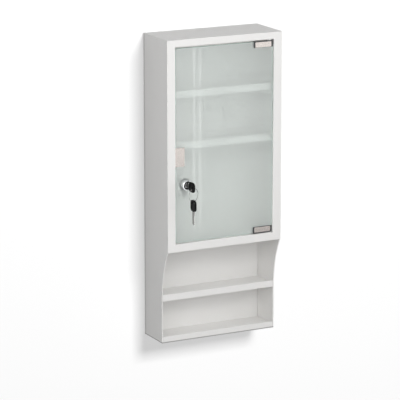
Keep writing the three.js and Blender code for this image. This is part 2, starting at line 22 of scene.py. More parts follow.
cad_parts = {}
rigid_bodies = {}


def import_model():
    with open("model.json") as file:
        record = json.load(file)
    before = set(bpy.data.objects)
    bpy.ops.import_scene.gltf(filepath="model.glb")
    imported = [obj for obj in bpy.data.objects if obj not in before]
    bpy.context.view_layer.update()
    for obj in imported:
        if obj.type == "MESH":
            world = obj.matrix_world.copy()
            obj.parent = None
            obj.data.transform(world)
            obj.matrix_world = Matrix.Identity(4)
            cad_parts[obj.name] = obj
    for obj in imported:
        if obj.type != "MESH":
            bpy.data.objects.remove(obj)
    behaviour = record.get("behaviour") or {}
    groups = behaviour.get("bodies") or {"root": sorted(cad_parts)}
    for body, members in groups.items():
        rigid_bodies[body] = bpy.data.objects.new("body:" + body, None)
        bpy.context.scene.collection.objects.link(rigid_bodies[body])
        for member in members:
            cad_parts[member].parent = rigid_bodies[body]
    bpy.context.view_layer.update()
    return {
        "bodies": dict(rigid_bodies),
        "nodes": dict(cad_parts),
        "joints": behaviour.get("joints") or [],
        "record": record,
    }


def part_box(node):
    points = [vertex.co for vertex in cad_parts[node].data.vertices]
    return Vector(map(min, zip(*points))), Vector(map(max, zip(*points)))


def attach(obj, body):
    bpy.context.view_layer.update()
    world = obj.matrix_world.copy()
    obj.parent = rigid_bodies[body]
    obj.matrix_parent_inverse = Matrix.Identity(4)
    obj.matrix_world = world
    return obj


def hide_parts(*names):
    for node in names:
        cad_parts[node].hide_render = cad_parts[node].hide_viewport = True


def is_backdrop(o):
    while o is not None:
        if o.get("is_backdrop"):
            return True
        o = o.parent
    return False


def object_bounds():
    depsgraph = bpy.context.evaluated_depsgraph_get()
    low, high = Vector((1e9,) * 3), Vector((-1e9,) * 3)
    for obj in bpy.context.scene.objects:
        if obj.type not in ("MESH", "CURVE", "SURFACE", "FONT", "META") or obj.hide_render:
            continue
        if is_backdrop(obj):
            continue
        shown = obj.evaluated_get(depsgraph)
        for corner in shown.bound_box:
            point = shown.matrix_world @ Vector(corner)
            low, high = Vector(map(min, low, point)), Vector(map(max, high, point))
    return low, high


LOG = logging.getLogger("medical_cabinet")
MM = 0.001
MERGE_DISTANCE = 1e-6
FLAT_ANGLE = math.radians(0.4)
SHARP_ANGLE = math.radians(28)
QUARTER = math.pi / 2
LARGE_FACE_WEIGHT = 100
NOISE_MIDDLE = 0.5
OVERCUT = 1 * MM
WHITE = (1.0, 1.0, 1.0, 1.0)

Colour = tuple[float, float, float]
Point2 = tuple[float, float]
Point3 = tuple[float, float, float]


class Slot(Enum):
    """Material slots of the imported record."""

    PAINT = "painted_steel"
    GLASS = "satin_glass"
    NICKEL = "satin_metal"
    CHROME = "chrome"
    STEEL = "bright_steel"
    NYLON = "white_nylon"
    LINER = "dark_liner"
    BLACK = "black_plastic"
    MAGNET = "magnet"


class Side(Enum):
    """Left and right of the cabinet, seen from its front."""

    LEFT = -1
    RIGHT = 1


# Shader maths and node building

# Places of the Mix node's colour sockets, whose names it uses more than once
MIX_FIRST = 6
MIX_SECOND = 7
MIX_RESULT = 2


class Wire:
    """One output of a node, on which plain maths can be written."""

    def __init__(self, graph: NodeGraph, socket: bpy.types.NodeSocket) -> None:
        """Keeps the graph, so that an expression can add its Math nodes.

        Args:
            graph: The graph that the output belongs to.
            socket: The output itself.
        """
        self.graph = graph
        self.socket = socket

    def maths(self, operation: str, *values: Scalar) -> Wire:
        """Adds one Math node.

        Args:
            operation: The Math node's operation.
            *values: Numbers or wires, in the order of the node's inputs.

        Returns:
            The node's result.
        """
        return self.graph.node("ShaderNodeMath", {"operation": operation}, dict(enumerate(values)))

    def __add__(self, other: Scalar) -> Wire:
        """Sum."""
        return self.maths("ADD", self, other)

    def __radd__(self, other: Scalar) -> Wire:
        """Sum with a number on the left."""
        return self.maths("ADD", other, self)

    def __sub__(self, other: Scalar) -> Wire:
        """Difference."""
        return self.maths("SUBTRACT", self, other)

    def __rsub__(self, other: Scalar) -> Wire:
        """Difference from a number on the left."""
        return self.maths("SUBTRACT", other, self)

    def __mul__(self, other: Scalar) -> Wire:
        """Product."""
        return self.maths("MULTIPLY", self, other)

    def __rmul__(self, other: Scalar) -> Wire:
        """Product with a number on the left."""
        return self.maths("MULTIPLY", other, self)

    def __abs__(self) -> Wire:
        """Size without its sign."""
        return self.maths("ABSOLUTE", self)

    def __gt__(self, other: Scalar) -> Wire:
        """One where this is the larger, else nought."""
        return self.maths("GREATER_THAN", self, other)

    def larger(self, other: Scalar) -> Wire:
        """The larger of two values."""
        return self.maths("MAXIMUM", self, other)

    def smaller(self, other: Scalar) -> Wire:
        """The smaller of two values."""
        return self.maths("MINIMUM", self, other)

    def spread(self, amount: float) -> Wire:
        """Noise as a swing to both sides of nought, the amount from end to end."""
        return amount * (self - NOISE_MIDDLE)


Scalar = Union[float, Wire]


class NodeGraph:
    """A node tree that is filled by one method."""

    def __init__(self, tree: bpy.types.NodeTree) -> None:
        """Empties the tree.

        Args:
            tree: The tree to fill.
        """
        self.tree = tree
        tree.nodes.clear()

    def node(
        self,
        kind: str,
        settings: Mapping[str, object] | None = None,
        sockets: Mapping[int | str, object] | None = None,
        output: int | str = 0,
    ) -> Wire:
        """Adds a node.

        Args:
            kind: The node's type.
            settings: What is set on the node first.
            sockets: Values or wires for its inputs, by index or name.
            output: The output to hand on.

        Returns:
            That output, or the first input of a node that has no outputs.
        """
        made = self.tree.nodes.new(kind)
        for name, value in (settings or {}).items():
            setattr(made, name, value)
        for key, value in (sockets or {}).items():
            if isinstance(value, Wire):
                self.tree.links.new(value.socket, made.inputs[key])
            else:
                made.inputs[key].default_value = value
        return Wire(self, made.outputs[output] if made.outputs else made.inputs[0])


class ShaderGraph(NodeGraph):
    """A material's or the world's nodes."""

    def __init__(self, owner: bpy.types.Material | bpy.types.World) -> None:
        """Turns the owner's nodes on.

        Args:
            owner: The material or world.
        """
        owner.use_nodes = True
        super().__init__(owner.node_tree)

    def place(self) -> Wire:
        """Where the shaded point lies on the piece at rest."""
        return self.node("ShaderNodeTexCoord", output="Object")

    def axes(self, vector: Wire) -> tuple[Wire, Wire, Wire]:
        """Splits a vector.

        Args:
            vector: The vector.

        Returns:
            Its X, Y and Z.
        """
        split = self.node("ShaderNodeSeparateXYZ", sockets={0: vector}).socket.node
        return tuple(Wire(self, output) for output in split.outputs)

    def stretched(self, vector: Wire, scale: Point3) -> Wire:
        """Scales a pattern's coordinates.

        Args:
            vector: The coordinates.
            scale: Factors along X, Y and Z.

        Returns:
            The scaled coordinates.
        """
        return self.node("ShaderNodeMapping", sockets={"Vector": vector, "Scale": scale})

    def noise(self, vector: Wire, scale: float, detail: float = 2.0) -> Wire:
        """Soft noise around one half.

        Args:
            vector: The coordinates it is read at.
            scale: Blobs per metre.
            detail: How many finer layers it has.

        Returns:
            The noise.
        """
        sockets = {"Vector": vector, "Scale": scale, "Detail": detail}
        return self.node("ShaderNodeTexNoise", sockets=sockets)

    def blend(self, factor: Scalar, first: Colour | Wire, second: Colour | Wire) -> Wire:
        """Mixes two colours.

        Args:
            factor: The share of the second.
            first: A colour or wire.
            second: A colour or wire.

        Returns:
            The mixed colour.
        """
        colours = [c if isinstance(c, Wire) else (*c, 1.0) for c in (first, second)]
        sockets = {0: factor, MIX_FIRST: colours[0], MIX_SECOND: colours[1]}
        return self.node("ShaderNodeMix", {"data_type": "RGBA"}, sockets, output=MIX_RESULT)

    def bump(self, height: Wire, depth: float, strength: float) -> Wire:
        """A normal that follows a height.

        Args:
            height: The height, from nought to one.
            depth: How deep that is, in metres.
            strength: The share of it that shows.

        Returns:
            The normal.
        """
        sockets = {"Height": height, "Distance": depth, "Strength": strength}
        return self.node("ShaderNodeBump", sockets=sockets, output="Normal")

    def surface(self, sockets: Mapping[str, object]) -> None:
        """Ends the material in a Principled shader.

        Args:
            sockets: The shader's inputs by name.
        """
        shader = self.node("ShaderNodeBsdfPrincipled", sockets=sockets)
        self.node("ShaderNodeOutputMaterial", sockets={"Surface": shader})


# Finishes


@dataclass(frozen=True)
class Finish:
    """What a family of pieces looks like."""

    slot: Slot
    colour: Colour
    roughness: float

    @cached_property
    def material(self) -> bpy.types.Material:
        """The finish as a material, made once."""
        made = bpy.data.materials.new(self.slot.value)
        self.draw(ShaderGraph(made))
        return made

    def draw(self, graph: ShaderGraph) -> None:
        """Builds the shader.

        Args:
            graph: The material's empty graph.
        """
        raise NotImplementedError

    def shade(self, factor: float) -> Colour:
        """The finish's colour, lighter or darker by a factor."""
        return tuple(channel * factor for channel in self.colour)

    def mottled(self, graph: ShaderGraph, pattern: Wire, tones: Point2) -> Wire:
        """The finish's colour, from a darker to a lighter tone over a pattern."""
        return graph.blend(pattern, *(self.shade(tone) for tone in tones))


@dataclass(frozen=True)
class PowderCoat(Finish):
    """Baked white paint with the fine orange peel of powder coating."""

    ior: float = 1.5
    tones: Point2 = (0.985, 1.015)
    peel_scale: float = 620.0
    peel_depth: float = 0.05 * MM
    peel_share: float = 0.5
    speck_scale: float = 1240.0
    speck_gloss: float = 0.05
    cloud_scale: float = 9.0
    cloud_gloss: float = 0.10
    # painted shade: the colour darkens on the outer faces next to the wall and along the foot, in place of
    # the shadow there
    wall_shade_reach: float = 8.0 * MM
    wall_shade_share: float = 0.42
    foot_shade_reach: float = 2.8 * MM
    edge_blur: float = 1.0 * MM
    painted_shade_tone: float = 0.42

    def draw(self, graph: ShaderGraph) -> None:
        """Orange peel, soft clouds in the gloss, and painted shade: a darker colour along the wall and the
        foot.

        Args:
            graph: The material's empty graph.
        """
        place = graph.place()
        peel = graph.noise(place, self.peel_scale, detail=1.0)
        clouds = graph.noise(place, self.cloud_scale, detail=3.0)
        specks = graph.noise(place, self.speck_scale)
        across, depth, height = graph.axes(place)
        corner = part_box("left_side")[0]
        # Painted shade: a dark band on the outer faces next to the wall and along the foot.
        outside = abs(across) > abs(corner.x) - self.edge_blur
        shade_at_wall = outside * (depth > -self.wall_shade_reach) * self.wall_shade_share
        shade_at_foot = (corner.z + self.foot_shade_reach - height) * (1 / self.edge_blur)
        line = shade_at_wall.larger(shade_at_foot).smaller(1.0)
        coat = self.mottled(graph, clouds, self.tones)
        graph.surface({
            "Base Color": graph.blend(line, coat, self.shade(self.painted_shade_tone)),
            "Roughness": self.roughness + clouds.spread(self.cloud_gloss) + specks.spread(self.speck_gloss),
            "Normal": graph.bump(peel, self.peel_depth, self.peel_share),
            "IOR": self.ior,
        })


@dataclass(frozen=True)
class SatinGlass(Finish):
    """Etched float glass: polished in front, dull behind, with the green of its edges."""

    ior: float = 1.5
    edge_colour: Colour = (0.62, 0.82, 0.76)
    edge_width: float = 0.7 * MM
    transmission: float = 0.78
    polish: float = 0.9
    polish_roughness: float = 0.015
    smear_scale: float = 14.0
    smear_gloss: float = 0.03
    smear_polish: float = 0.3

    def draw(self, graph: ShaderGraph) -> None:
        """A milky, see-through body whose sawn edges show the glass's own colour.

        Args:
            graph: The material's empty graph.
        """
        place = graph.place()
        low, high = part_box("door_glass")
        middle = (low + high) / 2
        reach = (high - low) / 2
        x, _, z = graph.axes(place)
        past_ends = abs(x - middle.x) - (reach.x - self.edge_width)
        past_tops = abs(z - middle.z) - (reach.z - self.edge_width)
        edge = past_ends.larger(past_tops) > 0.0
        smears = graph.noise(place, self.smear_scale, detail=3.0)
        graph.surface({
            "Base Color": graph.blend(edge, self.colour, self.edge_colour),
            "Roughness": self.roughness + smears.spread(self.smear_gloss),
            "Transmission Weight": self.transmission,
            "IOR": self.ior,
            "Coat Weight": self.polish + smears.spread(self.smear_polish),
            "Coat Roughness": self.polish_roughness,
            "Specular IOR Level": 0.0,
        })


@dataclass(frozen=True)
class BrushedMetal(Finish):
    """Metal with fine brush lines along one axis."""

    tones: Point2 = (0.95, 1.04)
    lines: Point3 = (60.0, 2200.0, 2200.0)
    line_depth: float = 0.012 * MM
    line_share: float = 0.5
    line_gloss: float = 0.12
    cloud_scale: float = 120.0
    cloud_gloss: float = 0.08

    def draw(self, graph: ShaderGraph) -> None:
        """Brush lines in the tone, the gloss and the surface.

        Args:
            graph: The material's empty graph.
        """
        place = graph.place()
        brush = graph.noise(graph.stretched(place, self.lines), 1.0, detail=3.0)
        clouds = graph.noise(place, self.cloud_scale)
        graph.surface({
            "Base Color": self.mottled(graph, brush, self.tones),
            "Metallic": 1.0,
            "Roughness": self.roughness + brush.spread(self.line_gloss) + clouds.spread(self.cloud_gloss),
            "Normal": graph.bump(brush, self.line_depth, self.line_share),
        })


@dataclass(frozen=True)
class PolishedMetal(Finish):
    """Bright plating with handling marks and a painted dark reflection: a black ring round the lock's plug.
    """

    tones: Point2 = (0.95, 1.03)
    touch_scale: float = 160.0
    touch_start: float = 0.4
    touch_gloss: float = 0.10
    mark_scale: float = 900.0
    mark_stretch: Point3 = (1.0, 1.0, 0.1)
    mark_depth: float = 0.004 * MM
    mark_share: float = 0.3
    mark_gloss: float = 0.03
    # painted reflection: a black ring on the bezel and the plug face stands in for dark surroundings
    # mirrored in the chrome
    dark_reflection_colour: Colour = (0.020, 0.022, 0.022)
    dark_reflection_radii: Point2 = (5.8 * MM, 9.6 * MM)
    dark_reflection_depth: float = 3.0 * MM

    def draw(self, graph: ShaderGraph) -> None:
        """A mirror that is a little dull where it has been touched, with a painted dark reflection round
        the keyway.

        Args:
            graph: The material's empty graph.
        """
        place = graph.place()
        touched = graph.noise(place, self.touch_scale, detail=3.0)
        marks = graph.noise(graph.stretched(place, self.mark_stretch), self.mark_scale)
        low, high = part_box("lock_barrel")
        middle = (low + high) / 2
        x, y, z = graph.axes(place)
        # Painted reflection: black between the two radii, on the front of the bezel and the plug only.
        across, up = x - middle.x, z - middle.z
        square = across * across + up * up
        inner, outer = self.dark_reflection_radii
        ring = (square > inner ** 2) - (square > outer ** 2)
        ring = ring * (1 - (y > low.y + self.dark_reflection_depth))
        plating = self.mottled(graph, touched, self.tones)
        dull = self.touch_gloss * (touched - self.touch_start).larger(0.0)
        graph.surface({
            "Base Color": graph.blend(ring, plating, self.dark_reflection_colour),
            "Metallic": 1.0,
            "Roughness": self.roughness + dull + self.mark_gloss * marks,
            "Normal": graph.bump(marks, self.mark_depth, self.mark_share),
        })


@dataclass(frozen=True)
class Moulding(Finish):
    """Moulded plastic, rubber or ferrite with a grained skin."""

    grain_scale: float = 2400.0
    grain_depth: float = 0.03 * MM
    grain_share: float = 0.6
    grain_gloss: float = 0.08
    cloud_scale: float = 180.0
    cloud_gloss: float = 0.16
    tone_spread: float = 0.06
    gloss: float = 0.5
    ior: float = 1.46

    def draw(self, graph: ShaderGraph) -> None:
        """Grain in the skin and a little spread in tone and gloss.

        Args:
            graph: The material's empty graph.
        """
        place = graph.place()
        grain = graph.noise(place, self.grain_scale)
        clouds = graph.noise(place, self.cloud_scale)
        tones = (1.0 - self.tone_spread, 1.0 + self.tone_spread)
        graph.surface({
            "Base Color": self.mottled(graph, clouds, tones),
            "Roughness": self.roughness + clouds.spread(self.cloud_gloss) + grain.spread(self.grain_gloss),
            "Normal": graph.bump(grain, self.grain_depth, self.grain_share),
            "IOR": self.ior,
            "Specular IOR Level": self.gloss,
        })


@dataclass(frozen=True)
class Finishes:
    """Every finish of the cabinet."""

    paint: Finish = PowderCoat(Slot.PAINT, (0.862, 0.855, 0.840), 0.40)
    glass: Finish = SatinGlass(Slot.GLASS, (0.748, 0.784, 0.768), 0.31)
    nickel: Finish = BrushedMetal(Slot.NICKEL, (0.71, 0.655, 0.62), 0.25, line_depth=0.004 * MM)
    chrome: Finish = PolishedMetal(Slot.CHROME, (0.82, 0.83, 0.84), 0.06)
    steel: Finish = BrushedMetal(Slot.STEEL, (0.38, 0.375, 0.37), 0.24, lines=(1500.0, 1500.0, 90.0))
    nylon: Finish = Moulding(
        Slot.NYLON, (0.76, 0.76, 0.74), 0.5, grain_scale=1600.0, grain_depth=0.02 * MM, tone_spread=0.02,
    )
    liner: Finish = Moulding(Slot.LINER, (0.056, 0.057, 0.060), 0.62)
    black: Finish = Moulding(Slot.BLACK, (0.005, 0.0055, 0.0055), 0.34, gloss=0.10)
    magnet: Finish = Moulding(
        Slot.MAGNET, (0.045, 0.046, 0.05), 0.55, grain_scale=1100.0, grain_depth=0.04 * MM, tone_spread=0.2,
    )


# Mesh making


def linked(name: str, mesh: bpy.types.Mesh) -> bpy.types.Object:
    """Puts a mesh into the scene as an object at the origin.

    Args:
        name: The object's name.
        mesh: Its mesh.

    Returns:
        The object.
    """
    piece = bpy.data.objects.new(name, mesh)
    bpy.context.scene.collection.objects.link(piece)
    return piece


def as_object(name: str, shape: bmesh.types.BMesh) -> bpy.types.Object:
    """Turns a bmesh into an object as it is.

    Args:
        name: The object's name.
        shape: The shape, which is freed.

    Returns:
        The object.
    """
    mesh = bpy.data.meshes.new(name)
    shape.to_mesh(mesh)
    shape.free()
    return linked(name, mesh)


def from_shape(name: str, shape: bmesh.types.BMesh) -> bpy.types.Object:
    """Turns a closed bmesh into an object, with its faces pointing out.

    Args:
        name: The object's name.
        shape: The closed shape, which is freed.

    Returns:
        The object.
    """
    bmesh.ops.remove_doubles(shape, verts=shape.verts, dist=MERGE_DISTANCE)
    bmesh.ops.recalc_face_normals(shape, faces=shape.faces)
    return as_object(name, shape)


def settle(piece: bpy.types.Object) -> bpy.types.Object:
    """Makes the result of a piece's modifiers its plain mesh.

    Args:
        piece: An object with modifiers.

    Returns:
        The same object, without modifiers.
    """
    graph = bpy.context.evaluated_depsgraph_get()
    evaluated = piece.evaluated_get(graph)
    mesh = bpy.data.meshes.new_from_object(evaluated, preserve_all_data_layers=True, depsgraph=graph)
    piece.modifiers.clear()
    piece.data = mesh
    mesh.name = piece.name
    return piece


def smooth(piece: bpy.types.Object) -> bpy.types.Object:
    """Shades a piece smooth, with its large faces kept flat.

    Args:
        piece: An object whose edges are rounded.

    Returns:
        The same object.
    """
    for polygon in piece.data.polygons:
        polygon.use_smooth = True
    weighted = piece.modifiers.new("flat_faces", "WEIGHTED_NORMAL")
    weighted.weight = LARGE_FACE_WEIGHT
    return settle(piece)


def rounded(piece: bpy.types.Object, width: float, segments: int) -> bpy.types.Object:
    """Rounds every sharp edge by the same width.

    Args:
        piece: The object.
        width: The width of the rounding.
        segments: How many facets it has.

    Returns:
        The same object.
    """
    bevel = piece.modifiers.new("soft_edges", "BEVEL")
    bevel.width = width
    bevel.segments = segments
    bevel.limit_method = "ANGLE"
    bevel.angle_limit = SHARP_ANGLE
    return smooth(settle(piece))


def cut(piece: bpy.types.Object, *tools: bpy.types.Object) -> bpy.types.Object:
    """Cuts pieces out of another and removes them.

    Args:
        piece: What is cut.
        *tools: The closed shapes that are cut out.

    Returns:
        The same object.
    """
    for tool in tools:
        boolean = piece.modifiers.new("cut", "BOOLEAN")
        boolean.operation = "DIFFERENCE"
        boolean.solver = "EXACT"
        boolean.object = tool
    settle(piece)
    for tool in tools:
        bpy.data.objects.remove(tool)
    return piece


def slab(low: Point3, high: Point3) -> bpy.types.Object:
    """A box between two corners, as a cutting tool.

    Args:
        low: Its lowest corner.
        high: Its highest corner.

    Returns:
        The object.
    """
    size = [top - bottom for bottom, top in zip(low, high)]
    middle = [(top + bottom) / 2 for bottom, top in zip(low, high)]
    place = Matrix.Translation(middle) @ Matrix.Diagonal((*size, 1.0))
    shape = bmesh.new()
    bmesh.ops.create_cube(shape, size=1.0, matrix=place)
    return from_shape("slab", shape)


def rod(centre: Point3, axis: Point3, radius: float, length: float, sides: int = 48) -> bpy.types.Object:
    """A round bar, as a cutting tool.

    Args:
        centre: Its middle.
        axis: Its direction.
        radius: Its radius.
        length: Its length.
        sides: How many sides it has.

    Returns:
        The object.
    """
    turn = Vector(axis).to_track_quat("Z", "Y").to_matrix().to_4x4()
    shape = bmesh.new()
    bmesh.ops.create_cone(
        shape, cap_ends=True, segments=sides, radius1=radius, radius2=radius, depth=length,
        matrix=Matrix.Translation(centre) @ turn,
    )
    return from_shape("rod", shape)


def arc(centre: Point2, radius: float, start: float, end: float, steps: int) -> list[Point2]:
    """Points on an arc, both ends included.

    Args:
        centre: The arc's centre.
        radius: Its radius.
        start: The angle of its first point.
        end: The angle of its last point.
        steps: How many chords it has.

    Returns:
        The points.
    """
    angles = [start + (end - start) * step / steps for step in range(steps + 1)]
    return [(centre[0] + radius * math.cos(a), centre[1] + radius * math.sin(a)) for a in angles]


def rounded_rectangle(low: Point2, high: Point2, radius: float, steps: int = 10) -> list[Point2]:
    """Outline of a rectangle with round corners.

    Args:
        low: Its lowest corner.
        high: Its highest corner.
        radius: The radius of its corners.
        steps: Chords in each corner.

    Returns:
        The outline's points, counter-clockwise.
    """
    inner_low = (low[0] + radius, low[1] + radius)
    inner_high = (high[0] - radius, high[1] - radius)
    corners = [
        (inner_low, math.pi),
        ((inner_high[0], inner_low[1]), 3 * QUARTER),
        (inner_high, 0.0),
        ((inner_low[0], inner_high[1]), QUARTER),
    ]
    return [point for centre, turn in corners for point in arc(centre, radius, turn, turn + QUARTER, steps)]


def plate(
    name: str,
    loops: Sequence[Sequence[Point2]],
    depths: Point2,
    stand: Callable[[float, float, float], Point3],
) -> bpy.types.Object:
    """A flat plate with holes.

    Args:
        name: The object's name.
        loops: Its outline and then its holes, in two coordinates.
        depths: The two values of the third coordinate that it lies between.
        stand: Turns outline and depth into a point of the row frame.

    Returns:
        The object.
    """
    shape = bmesh.new()
    edges = []
    for loop in loops:
        corners = [shape.verts.new((u, v, depths[0])) for u, v in loop]
        edges += [shape.edges.new(pair) for pair in zip(corners, corners[1:] + corners[:1])]
    bmesh.ops.triangle_fill(shape, use_beauty=True, edges=edges)
    grown = bmesh.ops.extrude_face_region(shape, geom=list(shape.faces))
    for vertex in (item for item in grown["geom"] if isinstance(item, bmesh.types.BMVert)):
        vertex.co.z = depths[1]
    for vertex in shape.verts:
        vertex.co = stand(*vertex.co)
    bmesh.ops.recalc_face_normals(shape, faces=shape.faces)
    bmesh.ops.dissolve_limit(shape, angle_limit=FLAT_ANGLE, verts=shape.verts, edges=shape.edges)
    return from_shape(name, shape)


def upright(u: float, v: float, depth: float) -> Point3:
    """Stands an outline up across the cabinet, its depth along Y."""
    return (u, depth, v)


def sideways(u: float, v: float, depth: float) -> Point3:
    """Stands an outline up along the cabinet's depth, its own depth along X."""
    return (depth, u, v)


def turned(name: str, profile: Sequence[Point2], axis: Point2, steps: int = 96) -> bpy.types.Object:
    """A piece turned about an axis along Y.

    Args:
        name: The object's name.
        profile: Radius and Y of a closed outline, or of a line that starts and ends on the axis.
        axis: X and Z of the axis.
        steps: How many facets it has round.

    Returns:
        The object.
    """
    shape = bmesh.new()
    rings = []
    for radius, y in profile:
        count = steps if radius > 0 else 1
        angles = [2 * math.pi * step / steps for step in range(count)]
        places = [(axis[0] + radius * math.cos(a), y, axis[1] + radius * math.sin(a)) for a in angles]
        rings.append([shape.verts.new(place) for place in places])
    closed = min(radius for radius, _ in profile) > 0
    followers = rings[1:] + rings[:1] if closed else rings[1:]
    for ring, follower in zip(rings, followers):
        for step in range(steps):
            after = (step + 1) % steps
            corners = [ring[step % len(ring)], ring[after % len(ring)]]
            corners += [follower[after % len(follower)], follower[step % len(follower)]]
            shape.faces.new(list(dict.fromkeys(corners)))
    return from_shape(name, shape)


@dataclass(frozen=True)
class SheetEdges:
    """How folded sheet is rounded: wide at the outside of a fold, little at a cut edge."""

    fold: float = 1.6 * MM
    inside: float = 0.5 * MM
    cut: float = 0.42 * MM
    narrow: float = 2.6 * MM
    segments: int = 3

    def width(self, edge: bmesh.types.BMEdge) -> float:
        """The rounding that an edge gets.

        Args:
            edge: An edge of the merged solid.

        Returns:
            The width, nought for an edge that isn't sharp.
        """
        if len(edge.link_faces) != 2 or edge.calc_face_angle(0.0) < SHARP_ANGLE:
            return 0.0
        breadth = min(2 * face.calc_area() / face.calc_perimeter() for face in edge.link_faces)
        if breadth < self.narrow:
            return self.cut
        return self.fold if edge.is_convex else self.inside

    def soften(self, node: bpy.types.Object, name: str) -> bpy.types.Object:
        """Copies a solid and rounds its edges.

        Args:
            node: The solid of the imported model.
            name: The new object's name.

        Returns:
            The object.
        """
        shape = bmesh.new()
        shape.from_mesh(node.data)
        bmesh.ops.remove_doubles(shape, verts=shape.verts, dist=MERGE_DISTANCE)
        bmesh.ops.dissolve_limit(shape, angle_limit=FLAT_ANGLE, verts=shape.verts, edges=shape.edges)
        weights = shape.edges.layers.float.new("bevel_weight_edge")
        for edge in shape.edges:
            edge[weights] = self.width(edge) / self.fold
        piece = as_object(name, shape)
        bevel = piece.modifiers.new("soft_edges", "BEVEL")
        bevel.width = self.fold
        bevel.segments = self.segments
        bevel.limit_method = "WEIGHT"
        return smooth(settle(piece))


# Geometry Nodes recipes

WIRE_SIDES = 10
MARK_SIDES = 16
MARK_RINGS = 8


class MeshRecipe(NodeGraph):
    """A Geometry Nodes tree with named inputs, whose result becomes a plain mesh."""

    def __init__(self, name: str, inputs: Mapping[str, str]) -> None:
        """Makes the tree's sockets.

        Args:
            name: The tree's name.
            inputs: Name and socket type of each input.
        """
        tree = bpy.data.node_groups.new(name, "GeometryNodeTree")
        super().__init__(tree)
        self.identifiers: dict[str, str] = {}
        tree.interface.new_socket("Geometry", in_out="OUTPUT", socket_type="NodeSocketGeometry")
        for label, kind in {**inputs, "Finish": "NodeSocketMaterial"}.items():
            socket = tree.interface.new_socket(label, in_out="INPUT", socket_type=kind)
            self.identifiers[label] = socket.identifier
        entry = tree.nodes.new("NodeGroupInput")
        self.inputs = {label: Wire(self, entry.outputs[label]) for label in self.identifiers}

    def end(self, geometry: Wire) -> None:
        """Realizes the result, shades it smooth and gives it the finish.

        Args:
            geometry: What the tree made.
        """
        real = self.node("GeometryNodeRealizeInstances", sockets={0: geometry})
        shaded = self.node("GeometryNodeSetShadeSmooth", sockets={0: real})
        finish = {0: shaded, "Material": self.inputs["Finish"]}
        dressed = self.node("GeometryNodeSetMaterial", sockets=finish)
        self.node("NodeGroupOutput", sockets={0: dressed})

    def make(self, name: str, values: Mapping[str, object], finish: Finish) -> bpy.types.Object:
        """Runs the recipe.

        Args:
            name: The new object's name.
            values: A value for each input.
            finish: The finish.

        Returns:
            The object, with a plain mesh.
        """
        piece = linked(name, bpy.data.meshes.new(name))
        modifier = piece.modifiers.new(self.tree.name, "NODES")
        modifier.node_group = self.tree
        for label, value in {**values, "Finish": finish.material}.items():
            modifier[self.identifiers[label]] = value
        return settle(piece)


def coil_recipe() -> MeshRecipe:
    """A wire wound about a level axis, for a split ring or a screw thread.

    Returns:
        The recipe.
    """
    recipe = MeshRecipe("wire_coil", {
        "Start": "NodeSocketVector",
        "Lie": "NodeSocketVector",
        "Radius": "NodeSocketFloat",
        "Turns": "NodeSocketFloat",
        "Length": "NodeSocketFloat",
        "Wire": "NodeSocketFloat",
        "Steps": "NodeSocketInt",
    })
    take = recipe.inputs
    path = recipe.node("GeometryNodeCurveSpiral", sockets={
        "Resolution": take["Steps"],
        "Rotations": take["Turns"],
        "Start Radius": take["Radius"],
        "End Radius": take["Radius"],
        "Height": take["Length"],
    })
    round_wire = {"Resolution": WIRE_SIDES, "Radius": take["Wire"]}
    section = recipe.node("GeometryNodeCurvePrimitiveCircle", sockets=round_wire)
    swept = {0: path, "Profile Curve": section, "Fill Caps": True}
    wire = recipe.node("GeometryNodeCurveToMesh", sockets=swept)
    laid = recipe.node("GeometryNodeTransform", sockets={
        0: wire,
        "Translation": take["Start"],
        "Rotation": take["Lie"],
    })
    recipe.end(laid)
    return recipe


def weld_recipe() -> MeshRecipe:
    """A row of spot welds on an upright face, as shallow painted marks.

    Returns:
        The recipe.
    """
    recipe = MeshRecipe("weld_row", {
        "First": "NodeSocketVector",
        "Last": "NodeSocketVector",
        "Count": "NodeSocketInt",
        "Radius": "NodeSocketFloat",
        "Proud": "NodeSocketVector",
    })
    take = recipe.inputs
    row = recipe.node("GeometryNodeMeshLine", {"mode": "END_POINTS"}, {
        "Count": take["Count"],
        "Start Location": take["First"],
        "Offset": take["Last"],
    })
    ball = {"Segments": MARK_SIDES, "Rings": MARK_RINGS, "Radius": take["Radius"]}
    mark = recipe.node("GeometryNodeMeshUVSphere", sockets=ball)
    marks = recipe.node("GeometryNodeInstanceOnPoints", sockets={
        "Points": row,
        "Instance": mark,
        "Scale": take["Proud"],
    })
    recipe.end(marks)
    return recipe


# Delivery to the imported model


class Workshop:
    """Takes finished pieces and fixes each to the body that carries it."""

    def __init__(self, frame: Mapping[str, object]) -> None:
        """Reads which body carries each node.

        Args:
            frame: The loaded frame.
        """
        self.nodes: Mapping[str, bpy.types.Object] = frame["nodes"]
        self.joints = {joint["name"]: joint for joint in frame["joints"]}
        bodies = frame["record"]["behaviour"]["bodies"]
        self.body_of = {node: body for body, members in bodies.items() for node in members}

    def deliver(self, piece: bpy.types.Object, finish: Finish, *nodes: str) -> None:
        """Gives a piece its finish and lets it stand for nodes of the model.

        Args:
            piece: The finished object.
            finish: Its finish.
            *nodes: The nodes that it stands for, all on one body.
        """
        self.add(piece, finish, self.body_of[nodes[0]])
        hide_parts(*nodes)

    def add(self, piece: bpy.types.Object, finish: Finish, body: str) -> None:
        """Gives a piece its finish and lets it ride on a body.

        Args:
            piece: The finished object.
            finish: Its finish.
            body: The body's name.
        """
        piece.data.materials.clear()
        piece.data.materials.append(finish.material)
        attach(piece, body)
        LOG.info("%s rides on %s: %d faces", piece.name, body, len(piece.data.polygons))

    def soften(self, finish: Finish, edges: SheetEdges, *nodes: str) -> None:
        """Delivers rounded copies of several solids.

        Args:
            finish: Their finish.
            edges: How their edges are rounded.
            *nodes: The solids' names.
        """
        for node in nodes:
            self.deliver(edges.soften(self.nodes[node], f"finished_{node}"), finish, node)


# Sub-assemblies


